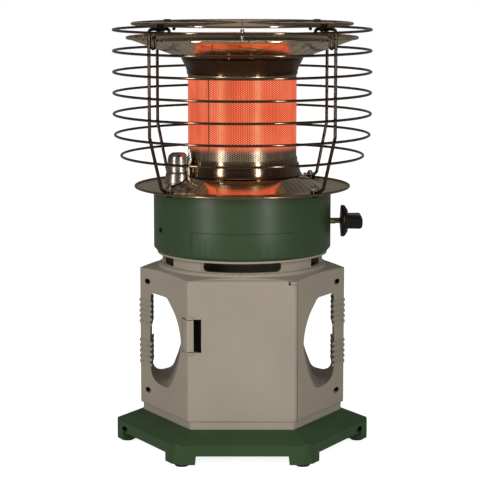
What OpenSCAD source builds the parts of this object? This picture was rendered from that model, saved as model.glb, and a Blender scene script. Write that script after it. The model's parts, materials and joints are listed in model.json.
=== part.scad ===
// Portable propane heater.
// A hexagonal cabinet holds a one-pound gas cylinder. A drum on its neck holds the regulator,
// the valve and the mixer, and a caged radiant burner with two reflectors stands on the drum.
// Origin: on the floor, under the burner axis. The door faces -Y and the knob +X. Millimetres.

/* [Feet] */
// Diameter of a rubber foot
foot_d = 17.2; // [12:0.1:22]
// Height of a foot under the base
foot_h = 4; // [2:0.5:8]
// Distance of each foot's centre inside the flat cut on a base corner
foot_inset = 11.9; // [10:0.1:16]
// Diameter of the stud that holds a foot
foot_stud_d = 6; // [4:0.5:8]

/* [Base] */
// Corner radius of the base hexagon, measured before its corners are cut
base_r = 159.4; // [156:0.1:170]
// Length cut off each corner of the base hexagon
corner_cut = 4; // [3:0.1:6]
// Height of a leg under the rim
leg_h = 10.5; // [6:0.5:20]
// Length of a leg along each face
leg_len = 24; // [20:0.5:34]
// Height of the upright rim of the base
rim_h = 12.5; // [11:0.5:20]
// Rise of the sloping top from the rim to the cabinet
slope_h = 12; // [6:0.5:20]
// Wall of the base mouldings
base_wall = 3; // [2:0.25:4]
// Distance of a base screw inside the flat cut on a base corner
base_screw_inset = 10.4; // [8:0.1:14]
// Depth of the hole in front of a base screw head, measured from the parting plane
base_screw_seat = 7; // [4:0.5:9]

/* [Cabinet] */
// Corner radius of the cabinet hexagon
cab_r = 126.7; // [124:0.1:134]
// Corner radius of the plinth under the cabinet
plinth_r = 123.6; // [121:0.1:124]
// Height of the plinth
plinth_h = 10; // [8:0.5:16]
// Height of the hexagonal body above the plinth
cab_h = 168.6; // [164:0.2:200]
// Rise of the shoulder from the body to the neck
shoulder_h = 4.4; // [3:0.2:8]
// Wall of the cabinet mouldings
cab_wall = 3; // [2:0.25:4]
// Rounding of the upright edges
edge_r = 4; // [2:0.5:6]
// Distance of a cabinet screw from the axis
cab_screw_x = 116; // [114:0.5:117]
// Height of the lower cabinet screws above the plinth
cab_screw_low = 18; // [12:0.5:21]
// Height of the upper cabinet screws above the plinth
cab_screw_high = 154; // [152:0.5:158]
// Diameter of the recess over a case screw head
screw_recess_d = 7.2; // [6.8:0.1:9]

/* [Neck] */
// Radius of the bead under the neck slots
bead_r = 103; // [100:0.5:104]
// Height of the bead
bead_h = 4; // [3:0.5:6]
// Radius of the slotted waist
waist_r = 97.5; // [96:0.5:99]
// Height of the slotted waist
waist_h = 12.5; // [10:0.5:20]
// Radius of the ring that carries the drum
cap_r = 104.3; // [102:0.1:106]
// Height of the ring that carries the drum
cap_h = 2.5; // [2:0.25:5]
// Wall of the neck at the waist
neck_wall = 3; // [2:0.25:4]
// Height of the neck slots
slot_h = 11; // [7:0.5:12]
// Half angle of the front and rear slots
slot_front_a = 28.8; // [20:0.5:32]
// Half angle of the side slots
slot_side_a = 33; // [20:0.5:34]

/* [Hand holds] */
// Distance from the axis to the grip side of a hand hold
hold_x = 112; // [110:0.5:113]
// Distance from the axis to the far side of a hand hold
hold_in_x = 73; // [71:0.5:76]
// Bottom of a hand hold above the plinth
hold_z0 = 30; // [28:0.5:40]
// Height of a hand hold
hold_h = 111.8; // [100:0.5:112]
// Wall of the tunnel behind a hand hold
hold_wall = 2.5; // [2:0.25:3]
// Spacing of the grip ribs
rib_pitch = 6.7; // [5:0.1:8]
// Thickness of a grip rib
rib_t = 3.4; // [2:0.1:4]
// Height of a grip rib above the grip
rib_rise = 1.2; // [0.5:0.1:2]
// Number of ribs in each of the two groups
rib_count = 5; // [3:1:6]

/* [Door] */
// Distance from the axis to the free edge of the door
door_half_w = 65; // [64:0.1:65.5]
// Thickness of the door panel
door_t = 3.2; // [2:0.1:3.5]
// Radius of the knuckle along the hinged edge
knuckle_r = 5.2; // [5:0.1:5.4]
// Gap between the door and the cabinet
door_gap = 0.6; // [0.4:0.1:0.9]
// Diameter of the hinge pins
hinge_pin_d = 2.5; // [2:0.1:2.8]
// Height of the cabinet ear over the upper hinge pin
ear_h = 4.5; // [4:0.5:8]
// Depth of the stiffening rim behind the door
door_rim = 5; // [3:0.5:7]

/* [Latch] */
// Height of the latch
latch_h = 38; // [30:1:50]
// Height of the latch centre above the plinth
latch_z = 104; // [90:1:120]
// Distance from the axis to the finger edge of the latch
latch_x = 57.6; // [56:0.1:59]
// Distance from the axis to the end of the latch wing
latch_wing_x = 72; // [69:0.5:73]
// Thickness of the latch
latch_t = 2.6; // [2:0.1:3]
// Travel of the latch
latch_travel = 7; // [4:0.5:8]

/* [Drum] */
// Outer radius of the drum
drum_r = 108.6; // [107.5:0.1:112]
// Height of the drum
drum_h = 77.6; // [74:0.2:90]
// Sheet thickness of the drum
drum_t = 1.2; // [0.8:0.1:1.6]
// Width of the flanges of the drum
drum_flange = 7; // [6:0.5:9]
// Height of the bevel around the drum's lower edge
drum_bevel = 5; // [3:0.5:8]
// Half angle of the access panel
panel_a = 34; // [20:1:40]
// Height of the access panel above the bottom of the drum
panel_h = 31.6; // [20:0.5:36]
// Height of the drum floor above the bottom of the drum
floor_lift = 6.5; // [6:0.5:8]
// Height of the drum screws above the bottom of the drum
drum_screw_z = 29.7; // [26:0.5:33]
// Height of the heat shield above the bottom of the drum
shield_lift = 66; // [64.5:0.5:69]

/* [Lower reflector] */
// Radius of the reflector rim
dish_r = 130.8; // [128:0.1:136]
// Radius where the flat rim meets the cone
dish_cone_r = 100; // [96:0.5:101]
// Radius of the raised centre
dish_top_r = 72.5; // [72:0.1:74]
// Rise of the cone above the rim
dish_rise = 14.5; // [12:0.5:17]
// Sheet thickness of the reflectors and collars
sheet_t = 0.8; // [0.6:0.1:1]
// Radius of the rolled edge of the reflectors
roll_r = 1.4; // [1:0.1:1.6]

/* [Burner] */
// Outer radius of the perforated screen
screen_r = 66.3; // [64:0.1:68]
// Height of the perforated screen
screen_h = 111; // [90:1:130]
// Radius of the glowing inner screen
emitter_r = 61; // [55:0.5:62.5]
// Distance that the foot of the lower collar stands outside the reflector's raised centre
collar_out = 0.5; // [0:0.1:1]
// Height of the lower collar
collar_h = 20; // [18:0.5:23]
// Gap between the lower collar and the reflector under it
collar_gap = 1.2; // [0.6:0.1:2]
// Radius of the upper collar at its mouth
flare_r = 74.3; // [72:0.1:78]
// Height of the upper collar
flare_h = 19.5; // [15:0.5:24]
// Outer radius of the mixer tube
mixer_r = 14; // [10:0.5:18]
// Number of air holes in the mixer tube
air_holes = 4; // [3:1:6]

/* [Upper reflector] */
// Gap between the wire centres of the uprights and the rim of the upper reflector
upper_gap = 12.5; // [11:0.1:16]
// Rise of the upper reflector from its centre to its rim
upper_rise = 24.5; // [18:0.5:28]
// Height of the stud above the centre of the upper reflector
stud_h = 33; // [26:0.5:34]
// Diameter of the stud
stud_d = 5; // [4:0.5:8]

/* [Guard] */
// Radius of the uprights at their wire centre
upright_r = 152.8; // [151:0.1:158]
// Diameter of the upright wire
upright_d = 4; // [3:0.1:5]
// Diameter of the ring wire
ring_d = 3.2; // [2.5:0.1:4]
// Number of guard rings
ring_count = 7; // [7:1:7]
// Spacing of the guard rings
ring_pitch = 25.4; // [24.6:0.1:26]
// Height of the lowest ring above the lower reflector
ring_low = 38.2; // [34:0.2:42]
// Height above the lower reflector where the uprights start to lean in
bend_z = 69; // [60:1:75]
// Distance of the uprights outside the reflector rim at the foot of their lean
foot_out = 3.8; // [3:0.1:5]
// Distance of the guard screws inside the reflector rim
guard_screw_inset = 8.8; // [8:0.1:12]
// Distance of the outer grille ring inside the uprights
grille_inset = 19.2; // [15:0.1:24]
// Number of spokes in the top grille
grille_spokes = 12; // [8:1:18]
// Number of rings in the top grille
grille_rings = 6; // [4:1:7]

/* [Knob and valve] */
// Diameter of the knob skirt
knob_d = 39; // [34:0.5:42]
// Thickness of the knob skirt
knob_skirt = 9; // [6:0.5:11]
// Height of the knob's grip bar
knob_grip = 17.6; // [12:0.2:18]
// Length of the knob's grip bar
bar_len = 33; // [24:1:33]
// Thickness of the knob's grip bar
bar_t = 14.5; // [10:0.5:18]
// Gap between the drum and the back of the knob
knob_gap = 12; // [8:0.5:13]
// Height of the valve stem above the bottom of the drum
stem_z = 35; // [34:0.5:38]
// Diameter of the valve stem
stem_d = 7.4; // [5:0.1:8]
// Travel of the knob when it is pushed in
push_travel = 4; // [2:0.5:5]
// Distance from the axis to the inner face of the valve body
valve_x0 = 68; // [66:0.5:70]
// Distance from the axis to the outer face of the valve body
valve_x1 = 100; // [98:0.5:102]
// Width of the valve body
valve_w = 26; // [24:0.5:30]

/* [Gas train] */
// Diameter of the gas cylinder that the heater takes
cylinder_d = 98; // [95:1:100]
// Height of the gas cylinder from its foot to the end of its thread
cylinder_h = 203; // [200:1:206]
// Length of thread that the cylinder screws into the regulator
thread_len = 10; // [8:0.5:14]
// Radius of the threaded inlet
inlet_r = 12.2; // [11:0.1:12.6]
// Radius of the regulator body
reg_r = 24; // [20:0.5:26]
// Diameter of the gas pipes
pipe_d = 6; // [4:0.5:7]
// Diameter of the pilot tube
pilot_tube_d = 4; // [3:0.5:5]
// Distance from the axis at which the thin tubes run round the drum
tube_run_r = 80; // [74:1:86]

/* [Pilot] */
// Distance of the pilot hood's centre outside the foot of the burner collar
hood_out = 8.5; // [8:0.25:11]
// Direction of the pilot hood from the axis, in degrees
hood_a = 198; // [196:0.5:202]
// Radius of the pilot hood at its mouth
hood_r = 17.5; // [15:0.5:18]
// Height of the mouth of the pilot hood above the reflector rim
hood_lift = 5.6; // [5:0.2:8]
// Height of the pilot hood
hood_h = 38; // [34:0.5:46]

/* [Clearances] */
// Radial gap of a shaft, pin or screw in its hole
fit_gap = 0.05; // [0.03:0.01:0.1]
// Gap between parts that must not touch
free_gap = 0.3; // [0.2:0.05:0.5]

/* [Hidden] */
$fn = 96;
big = 400;
eps = 0.01;
weld_gap = 0.02;

// Radii that follow from others
base_flat_r = base_r - corner_cut;
foot_ring_r = base_flat_r - foot_inset;
base_screw_x = base_flat_r - base_screw_inset;
collar_foot_r = dish_top_r + collar_out;
foot_r = dish_r + foot_out;
hood_x = (collar_foot_r + hood_out) * cos(hood_a);
hood_y = (collar_foot_r + hood_out) * sin(hood_a);
guard_screw_r = dish_r - guard_screw_inset;
upper_r = upright_r - upper_gap;
grille_r = upright_r - grille_inset;

// Places around the axis, and the tabs that hold the lower collar
UPRIGHTS = [-45, 45, 135, 225];
DRUM_SCREWS = [205, 25, 100];
COLLAR_TABS = [252, 12, 132];
cone_a = atan(dish_rise / (dish_cone_r - dish_top_r));
tab_t = 1;
tab_w = 9;
tab_r = dish_top_r + 6.5;
pan_t = 1.6;
bead_lift = 0.5;

// Heights above the floor, from the feet up
z_leg = foot_h;
z_rim = z_leg + leg_h;
z_slope = z_rim + rim_h;
z_deck = z_slope + slope_h;
z_cab = z_deck + plinth_h;
z_shoulder = z_cab + cab_h;
z_bead = z_shoulder + shoulder_h;
z_waist = z_bead + bead_h;
z_cap = z_waist + waist_h;
z_drum = z_cap + cap_h;
z_floor = z_drum + floor_lift;
z_shield = z_drum + shield_lift;
z_dish = z_drum + drum_h;
z_dish_top = z_dish + sheet_t;
z_plateau = z_dish_top + dish_rise;
z_collar = z_plateau + collar_gap;
z_collar_step = z_collar + 12.2;
z_pan = z_collar + collar_h - 6;
z_screen = z_pan + pan_t;
z_screen_top = z_screen + screen_h;
z_flare = z_screen_top - 5;
z_upper = z_flare + flare_h;
z_rim_upper = z_upper + sheet_t + upper_rise;
z_stem = z_drum + stem_z;

// Guard: rings outside the uprights, grille on top of their spokes
z_ring_low = z_dish_top + ring_low;
z_ring_top = z_ring_low + (ring_count - 1) * ring_pitch;
z_bend = z_dish_top + bend_z;
z_foot = z_dish_top + upright_d / 2;
z_over = z_dish_top + bead_lift + roll_r + upright_d / 2 + 0.2;
z_lean = z_over + 2.5;
lean = (upright_r - foot_r) / (z_bend - z_lean);
z_spoke = z_ring_top + ring_d / 2 + upright_d / 2 + weld_gap;
spoke_in_r = grille_r - 14;
z_grille = z_spoke + upright_d / 2 + ring_d / 2 + weld_gap;
clip_w = 7;
clip_t = 0.9;

// Cabinet and door
hex_k = cos(30);
cab_ap = cab_r * hex_k;
base_ap = base_r * hex_k;
deck_r = plinth_r + 1;
deck_ap = deck_r * hex_k;
slope_a = atan(slope_h / (base_ap - deck_ap));
door_y = -cab_ap - 0.2;
pivot_x = door_half_w + 0.6 - knuckle_r;
pivot_y = door_y + knuckle_r;
ear_x = pivot_x - 3.2;
ear_cut_x = pivot_x - knuckle_r - 0.6;
pocket_y = -cab_ap + knuckle_r - free_gap;
frame_y = pocket_y + cab_wall;
z_door = z_cab + door_gap;
z_door_top = z_shoulder + 1.4;
open_x0 = -54;
open_x1 = 50;
open_z0 = z_cab + 9;
open_z1 = z_shoulder - 9;
rim_gap = 2;
z_latch = z_cab + latch_z;
latch_notch_z = latch_h / 2 + 1;
window_x1 = -latch_x + latch_travel + 2;
z_hold0 = z_cab + hold_z0;
z_hold1 = z_hold0 + hold_h;
z_cab_screw_low = z_cab + cab_screw_low;
z_cab_screw_high = z_cab + cab_screw_high;

// Screws that hold the mouldings together
head_d = 6.4;
head_h = 2.6;
shank_d = 3;
cab_screw_seat = 6;
shank_len = 11;

// Gas train
z_tray = z_deck + 2;
z_inlet = z_tray + cylinder_h - thread_len;
z_reg = z_floor + drum_t + 4;
reg_h = 18;
z_inlet_pipe = z_reg + reg_h / 2;
z_jet_holder = z_reg + reg_h + 3.5;
jet_holder_h = 26;
jet_holder_r = 7;
z_jet = z_jet_holder + jet_holder_h;
jet_h = 5;
z_mixer = z_jet;
bush_r = 8;
bush_x1 = sqrt(pow(drum_r - drum_t, 2) - pow(bush_r, 2)) - free_gap;
knob_x0 = drum_r + knob_gap;
stem_x0 = valve_x0 + 10;
ring_x0 = valve_x1 - 10;
cavity_r = 8;
valve_h = 24;
switch_x = -62;
switch_y = 20;

// Pilot
z_hood = z_dish_top + hood_lift;
thermo_x = -64.5;
thermo_y = -42;
thermo_d = 3.4;
z_thermo = z_hood + hood_h + 5;

green = [0.24, 0.33, 0.21];
tan_c = [0.60, 0.56, 0.50];
steel = [0.62, 0.60, 0.56];
dark_steel = [0.32, 0.28, 0.24];
wire_c = [0.24, 0.21, 0.19];
brass = [0.71, 0.58, 0.30];
black = [0.09, 0.09, 0.09];
glow = [0.94, 0.40, 0.20];
zinc = [0.70, 0.70, 0.68];

// Top surface of the lower reflector at a distance from the axis
function dish_z(r) = r <= dish_top_r ? z_plateau
    : r >= dish_cone_r ? z_dish_top
    : z_plateau - dish_rise * (r - dish_top_r) / (dish_cone_r - dish_top_r);

// Distance of an upright's wire centre from the axis at a height, and of a ring welded to it there
function upright_at(z) = z >= z_bend ? upright_r : upright_r - (z_bend - z) * lean;
function ring_at(z) = upright_at(z)
    + ((upright_d + ring_d) / 2 + weld_gap) / cos(z >= z_bend ? 0 : atan(lean));

// Points of an outline whose corners are rounded. Each corner is [x, y, radius].
function unit(v) = v / norm(v);
function corner(p, c, n) = let (u = unit([p[0] - c[0], p[1] - c[1]]), v = unit([n[0] - c[0], n[1] - c[1]]),
        half = acos(max(-1, min(1, u * v))) / 2, reach = c[2] / tan(half),
        mid = [c[0], c[1]] + unit(u + v) * c[2] / sin(half),
        a0 = atan2(c[1] + u[1] * reach - mid[1], c[0] + u[0] * reach - mid[0]),
        a1 = atan2(c[1] + v[1] * reach - mid[1], c[0] + v[0] * reach - mid[0]),
        turn = a1 - a0 > 180 ? a1 - a0 - 360 : a1 - a0 < -180 ? a1 - a0 + 360 : a1 - a0,
        steps = max(2, ceil(abs(turn) / (c[2] > 30 ? 4 : 12))))
    [for (i = [0:steps]) mid + c[2] * [cos(a0 + turn * i / steps), sin(a0 + turn * i / steps)]];
function rounded(pts) = [for (i = [0:len(pts) - 1])
    each corner(pts[(i + len(pts) - 1) % len(pts)], pts[i], pts[(i + 1) % len(pts)])];

// ---- Small helpers ----

// A hexagon with rounded corners, one of them on +X
module hexagon(r, fillet) {
    polygon(rounded([for (i = [0:5]) [r * cos(60 * i), r * sin(60 * i), fillet]]));
}

// A bar of round wire through a list of points
module wire(points, d) {
    for (i = [0:len(points) - 2]) {
        step = points[i + 1] - points[i];
        len = norm(step);
        translate(points[i]) rotate([0, acos(step[2] / len), atan2(step[1], step[0])])
            cylinder(d = d, h = len, $fn = 32);
    }
    if (len(points) > 2) for (i = [1:len(points) - 2]) translate(points[i]) sphere(d = d * 1.04, $fn = 32);
}

// Offsets of a ring of points from one segment of a path, carried onto the mitre with the next
function mitred(ring, d0, d1) = let (t = unit(d0 + d1)) [for (w = ring) w - d0 * ((w * t) / (d0 * t))];
function rings(pts, ring, i = 0) =
    i == len(pts) - 1 ? [[for (w = ring) pts[i] + w]]
    : i == 0 ? concat([[for (w = ring) pts[0] + w]], rings(pts, ring, 1))
    : let (d0 = unit(pts[i] - pts[i - 1]), d1 = unit(pts[i + 1] - pts[i]), m = mitred(ring, d0, d1))
        concat([[for (q = m) pts[i] + q]], rings(pts, [for (q = m) q - d1 * (q * d1)], i + 1));

// A tube with mitred bends through a list of points
module tube(points, d) {
    sides = 12;
    dir = unit(points[1] - points[0]);
    a = unit(cross(dir, abs(dir[2]) < 0.9 ? [0, 0, 1] : [1, 0, 0]));
    b = cross(dir, a);
    rows = rings(points, [for (j = [0:sides - 1])
        (a * cos(360 * j / sides) + b * sin(360 * j / sides)) * d / 2]);
    last = (len(rows) - 1) * sides;
    polyhedron([for (row = rows) each row], concat(
        [[for (j = [0:sides - 1]) j]],
        [for (k = [0:len(rows) - 2], j = [0:sides - 1]) [k * sides + j, (k + 1) * sides + j,
            (k + 1) * sides + (j + 1) % sides, k * sides + (j + 1) % sides]],
        [[for (j = [sides - 1:-1:0]) last + j]]));
}

// A thin sheet turned about the axis: its upper side as [radius, height] points, thickened downwards
module turned_sheet(line, t) {
    n = len(line);
    rotate_extrude() polygon(concat(line, [for (i = [n - 1:-1:0]) [line[i][0], line[i][1] - t]]));
}

// The same, thickened towards the axis
module turned_wall(line, t) {
    n = len(line);
    rotate_extrude() polygon(concat(line, [for (i = [n - 1:-1:0]) [line[i][0] - t, line[i][1]]]));
}

// A ring of round wire
module torus(r, z, d) {
    translate([0, 0, z]) rotate_extrude() translate([r, 0]) circle(d = d, $fn = 32);
}

module front_half() {
    intersection() {
        children();
        translate([-big, -2 * big, -big]) cube(2 * big);
    }
}

module rear_half() {
    intersection() {
        children();
        translate([-big, 0, -big]) cube(2 * big);
    }
}

// A screw along +Y whose head seats at y = -seat
module case_screw(x, z, seat) {
    translate([x, -seat, z]) rotate([-90, 0, 0]) {
        difference() {
            translate([0, 0, -head_h]) cylinder(d = head_d, h = head_h, $fn = 32);
            translate([-2.4, -0.5, -head_h - eps]) cube([4.8, 1, 1.2]);
            translate([-0.5, -2.4, -head_h - eps]) cube([1, 4.8, 1.2]);
        }
        translate([0, 0, -eps]) cylinder(d = shank_d, h = seat + shank_len, $fn = 32);
    }
}

// The hole for such a screw
module case_screw_hole(x, z, seat) {
    translate([x, 0, z]) rotate([-90, 0, 0]) {
        translate([0, 0, -big]) cylinder(d = screw_recess_d, h = big - seat);
        translate([0, 0, -seat - eps]) cylinder(d = shank_d + 2 * fit_gap, h = seat + shank_len + 1);
    }
}

// ---- Feet and base ----

module foot_places() {
    for (i = [0:5]) rotate([0, 0, 60 * i]) translate([foot_ring_r, 0, 0]) children();
}

module rubber_feet() {
    color(black) foot_places() {
        translate([0, 0, 1]) cylinder(d = foot_d, h = foot_h - 1);
        cylinder(d1 = foot_d - 2, d2 = foot_d, h = 1 + eps);
        translate([0, 0, foot_h - eps]) cylinder(d = foot_stud_d, h = 6);
    }
}

module base_outline(inset) {
    intersection() {
        circle(r = base_r - inset / hex_k, $fn = 6);
        rotate(30) circle(r = (base_flat_r - inset) / hex_k, $fn = 6);
    }
}

// Solid form of the base with its six sloping faces, from a height up
module base_form(inset, z0) {
    difference() {
        translate([0, 0, z0]) linear_extrude(z_deck - z0 - inset) base_outline(inset);
        for (i = [0:5]) rotate([0, 0, 60 * i + 30]) translate([base_ap, 0, z_slope - inset])
            rotate([0, slope_a, 0]) translate([-big, -big, 0]) cube(2 * big);
    }
}

// Blocks at the corners, their ends square to the faces, grown outwards past the rim
module leg_blocks(z0, z1) {
    apex_x = base_r - leg_len / cos(60);
    for (i = [0:5]) rotate([0, 0, 60 * i]) translate([apex_x, 0, z0]) linear_extrude(z1 - z0)
        polygon([[0, 0], 3 * leg_len * [cos(30), -sin(30)], 3 * leg_len * [cos(30), sin(30)]]);
}

module base_shell() {
    difference() {
        base_form(0, z_leg);
        difference() {
            base_form(base_wall, z_leg - 1);
            leg_blocks(z_leg - 2, z_slope - base_wall - 1);
        }
        difference() {
            translate([0, 0, z_leg - 1]) cylinder(r = big, h = z_rim - z_leg + 1, $fn = 6);
            leg_blocks(z_leg - 2, z_rim + 1);
        }
        foot_places() translate([0, 0, -eps]) cylinder(d = foot_stud_d + 2 * fit_gap, h = foot_h + 7);
        for (x = [-base_screw_x, base_screw_x]) case_screw_hole(x, z_rim + 4, base_screw_seat);
    }
}

module base_front() { color(green) front_half() base_shell(); }
module base_rear() { color(green) rear_half() base_shell(); }

module base_screws() {
    color(black) for (x = [-base_screw_x, base_screw_x]) case_screw(x, z_rim + 4, base_screw_seat);
}

// Cup on the base that centres the gas cylinder
module cylinder_tray() {
    cup_r = cylinder_d / 2 + 3;
    color(zinc) translate([0, 0, z_deck]) rotate_extrude()
        polygon([[12, 0], [cup_r + 1.5, 0], [cup_r + 1.5, 9], [cup_r, 9], [cup_r, z_tray - z_deck],
            [12, z_tray - z_deck]]);
}

// ---- Cabinet ----

// Outline of a hand hold in the X-Z plane, grown by g
function hold_outline(g) = rounded([
    [hold_x + g, z_hold1 + g, 5 + g],
    [hold_x - 21 - 0.55 * g, z_hold1 + g, 5 + g],
    [hold_in_x + 6.8 - g, z_hold0 + 0.84 * hold_h, 60 + g],
    [hold_in_x + 0.8 - g, z_hold0 + 0.65 * hold_h, 80 + g],
    [hold_in_x - g, z_hold0 + 0.47 * hold_h, 70 + g],
    [hold_in_x + 7.2 - g, z_hold0 + 0.19 * hold_h, 90 + g],
    [hold_x - 23 - 0.7 * g, z_hold0 - g, 7 + g],
    [hold_x - 2.5 + g, z_hold0 + 1.5 - g, 14 + g],
    [hold_x + 1.5 + g, z_hold0 + 22, 20]]);

module hold_tunnels(g) {
    for (s = [0, 1]) mirror([s, 0, 0]) rotate([90, 0, 0])
        translate([0, 0, -big / 2]) linear_extrude(big) polygon(hold_outline(g));
}

// Heights of the grip ribs
function rib_heights() = [for (g = [0.31, 0.76], i = [0:rib_count - 1])
    z_hold0 + hold_h * g + (i - (rib_count - 1) / 2) * rib_pitch];

module grip_ribs() {
    for (z = rib_heights()) translate([0, 0, z - rib_t / 2]) difference() {
        linear_extrude(rib_t) intersection() {
            hexagon(cab_r + rib_rise, edge_r);
            for (s = [-1, 1]) translate([s * (hold_x - rib_rise + big / 2), 0]) square(big, center = true);
        }
        translate([0, 0, -eps]) linear_extrude(rib_t + 2 * eps) intersection() {
            hexagon(cab_r - cab_wall / hex_k, edge_r);
            for (s = [-1, 1]) translate([s * (hold_x + hold_wall + big / 2), 0]) square(big, center = true);
        }
    }
}

// The hexagonal body under a conical shoulder
module cabinet_mass(inset, z0) {
    intersection() {
        translate([0, 0, z0]) linear_extrude(z_bead - z0 + 1) hexagon(cab_r - inset / hex_k, edge_r);
        union() {
            cylinder(r = big, h = z_shoulder - inset);
            translate([0, 0, z_shoulder - inset - eps])
                cylinder(r1 = cab_r, r2 = bead_r, h = shoulder_h + eps);
        }
    }
}

module neck_slot(az, half) {
    mid_z = z_waist + waist_h / 2;
    end_a = half - asin(slot_h / 2 / waist_r);
    rotate([0, 0, az - end_a]) translate([0, 0, mid_z - slot_h / 2])
        rotate_extrude(angle = 2 * end_a) translate([waist_r - 12, 0]) square([24, slot_h]);
    for (a = [-end_a, end_a]) rotate([0, 0, az + a]) translate([waist_r - 12, 0, mid_z])
        rotate([0, 90, 0]) cylinder(d = slot_h, h = 24, $fn = 48);
}

module neck() {
    in_r = waist_r - neck_wall;
    rotate_extrude() polygon([[in_r, z_shoulder - cab_wall], [bead_r - 6, z_shoulder - cab_wall],
        [bead_r, z_bead - 1], [bead_r, z_bead + 1.6], [bead_r - 1.6, z_waist], [waist_r, z_waist],
        [waist_r, z_cap], [cap_r, z_cap], [cap_r, z_drum], [in_r, z_drum]]);
}

module screw_boss(x, z) {
    translate([x, 0, z]) rotate([90, 0, 0]) cylinder(d = screw_recess_d + 4, h = 34, center = true);
}

module cabinet_bosses() {
    intersection() {
        translate([0, 0, z_cab]) linear_extrude(cab_h) hexagon(cab_r, edge_r);
        for (x = [-cab_screw_x, cab_screw_x], z = [z_cab_screw_low, z_cab_screw_high]) screw_boss(x, z);
    }
}

// Space in front of the door frame that the closed door fills
module door_pocket() {
    left = -door_half_w - 1.5;
    translate([left, -big, z_cab]) cube([ear_x - left, big + pocket_y, cab_h + 12]);
    translate([left, -big, z_cab]) cube([2 * door_half_w + 4, big + pocket_y, z_door_top - ear_h - z_cab]);
    translate([pivot_x, pivot_y, z_cab])
        cylinder(r = knuckle_r + door_gap - 0.2, h = z_door_top - ear_h - z_cab, $fn = 64);
}

module latch_notch() {
    translate([-latch_wing_x - 2, -big, z_latch - latch_notch_z])
        cube([latch_wing_x + 2 + open_x0 + 2, big - cab_ap + 18, 2 * latch_notch_z]);
}

module cabinet_shell() {
    difference() {
        union() {
            difference() {
                union() {
                    cabinet_mass(0, z_cab);
                    translate([0, 0, z_deck]) linear_extrude(plinth_h) hexagon(plinth_r, edge_r);
                    neck();
                }
                difference() {
                    union() {
                        cabinet_mass(cab_wall, z_cab - eps);
                        translate([0, 0, z_deck - eps]) linear_extrude(plinth_h + 2 * eps)
                            hexagon(plinth_r - cab_wall / hex_k, edge_r);
                        translate([0, 0, z_shoulder - 2 * cab_wall])
                            cylinder(r = waist_r - neck_wall, h = big);
                    }
                    translate([-big, -2 * big + frame_y, 0]) cube([2 * big, 2 * big, z_shoulder + 1]);
                }
            }
            intersection() {
                hold_tunnels(hold_wall);
                translate([0, 0, z_cab]) linear_extrude(cab_h) hexagon(cab_r, edge_r);
            }
            grip_ribs();
            cabinet_bosses();
        }
        hold_bores();
        door_pocket();
        latch_notch();
        translate([open_x0, -cab_ap - 5, open_z0])
            cube([open_x1 - open_x0, cab_ap + 5 + frame_y + 1, open_z1 - open_z0]);
        for (z = [z_cab - 5.5, z_door_top - ear_h - 1]) translate([pivot_x, pivot_y, z])
            cylinder(d = hinge_pin_d + 2 * fit_gap, h = 8, $fn = 32);
        for (x = [-cab_screw_x, cab_screw_x], z = [z_cab_screw_low, z_cab_screw_high])
            case_screw_hole(x, z, cab_screw_seat);
        for (az = [90, 270]) neck_slot(az, slot_front_a);
        for (az = [0, 180]) neck_slot(az, slot_side_a);
    }
}

// The hand holds with the grip ribs left standing in them
module hold_bores() {
    difference() {
        hold_tunnels(0);
        grip_ribs();
    }
}

module cabinet_front_shell() { color(tan_c) front_half() cabinet_shell(); }
module cabinet_rear_shell() { color(tan_c) rear_half() cabinet_shell(); }

module cabinet_screws() {
    color(black) for (x = [-cab_screw_x, cab_screw_x], z = [z_cab_screw_low, z_cab_screw_high])
        case_screw(x, z, cab_screw_seat);
}

// ---- Door ----

module door() {
    panel_w = door_half_w + pivot_x;
    knuckle_h = z_door_top - ear_h - free_gap - z_door;
    rim_x0 = open_x0 + rim_gap + 2;
    rim_x1 = open_x1 - rim_gap;
    rim_z0 = open_z0 + rim_gap;
    rim_z1 = open_z1 - rim_gap;
    back_y = door_y + door_t;
    color(tan_c) difference() {
        union() {
            translate([-door_half_w, back_y, z_door]) rotate([90, 0, 0]) linear_extrude(door_t)
                polygon(rounded([[0, 0, 1], [panel_w, 0, 1], [panel_w, z_door_top - z_door, 2.5],
                    [0, z_door_top - z_door, 3.5]]));
            translate([pivot_x, pivot_y, z_door]) cylinder(r = knuckle_r, h = knuckle_h, $fn = 64);
            translate([rim_x0, back_y - eps, rim_z0]) difference() {
                cube([rim_x1 - rim_x0, door_rim, rim_z1 - rim_z0]);
                translate([2.5, -1, 2.5]) cube([rim_x1 - rim_x0 - 5, door_rim + 2, rim_z1 - rim_z0 - 5]);
            }
        }
        translate([ear_cut_x, door_y - 1, z_door + knuckle_h])
            cube([2 * knuckle_r + 2.6, 2 * knuckle_r, big]);
        translate([-door_half_w - 1, door_y - 1, z_latch - latch_notch_z])
            cube([window_x1 + door_half_w + 1, door_t + door_rim + 2, 2 * latch_notch_z]);
        for (z = [z_door - 1, z_door + knuckle_h - 8]) translate([pivot_x, pivot_y, z])
            cylinder(d = hinge_pin_d + 2 * fit_gap, h = 9, $fn = 32);
    }
}

module door_hinge_pins() {
    ear_z = z_door_top - ear_h;
    color(zinc) translate([pivot_x, pivot_y, 0]) {
        translate([0, 0, z_cab - 5]) cylinder(d = hinge_pin_d, h = 12, $fn = 32);
        translate([0, 0, ear_z - 7]) cylinder(d = hinge_pin_d, h = 9, $fn = 32);
    }
}

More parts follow.
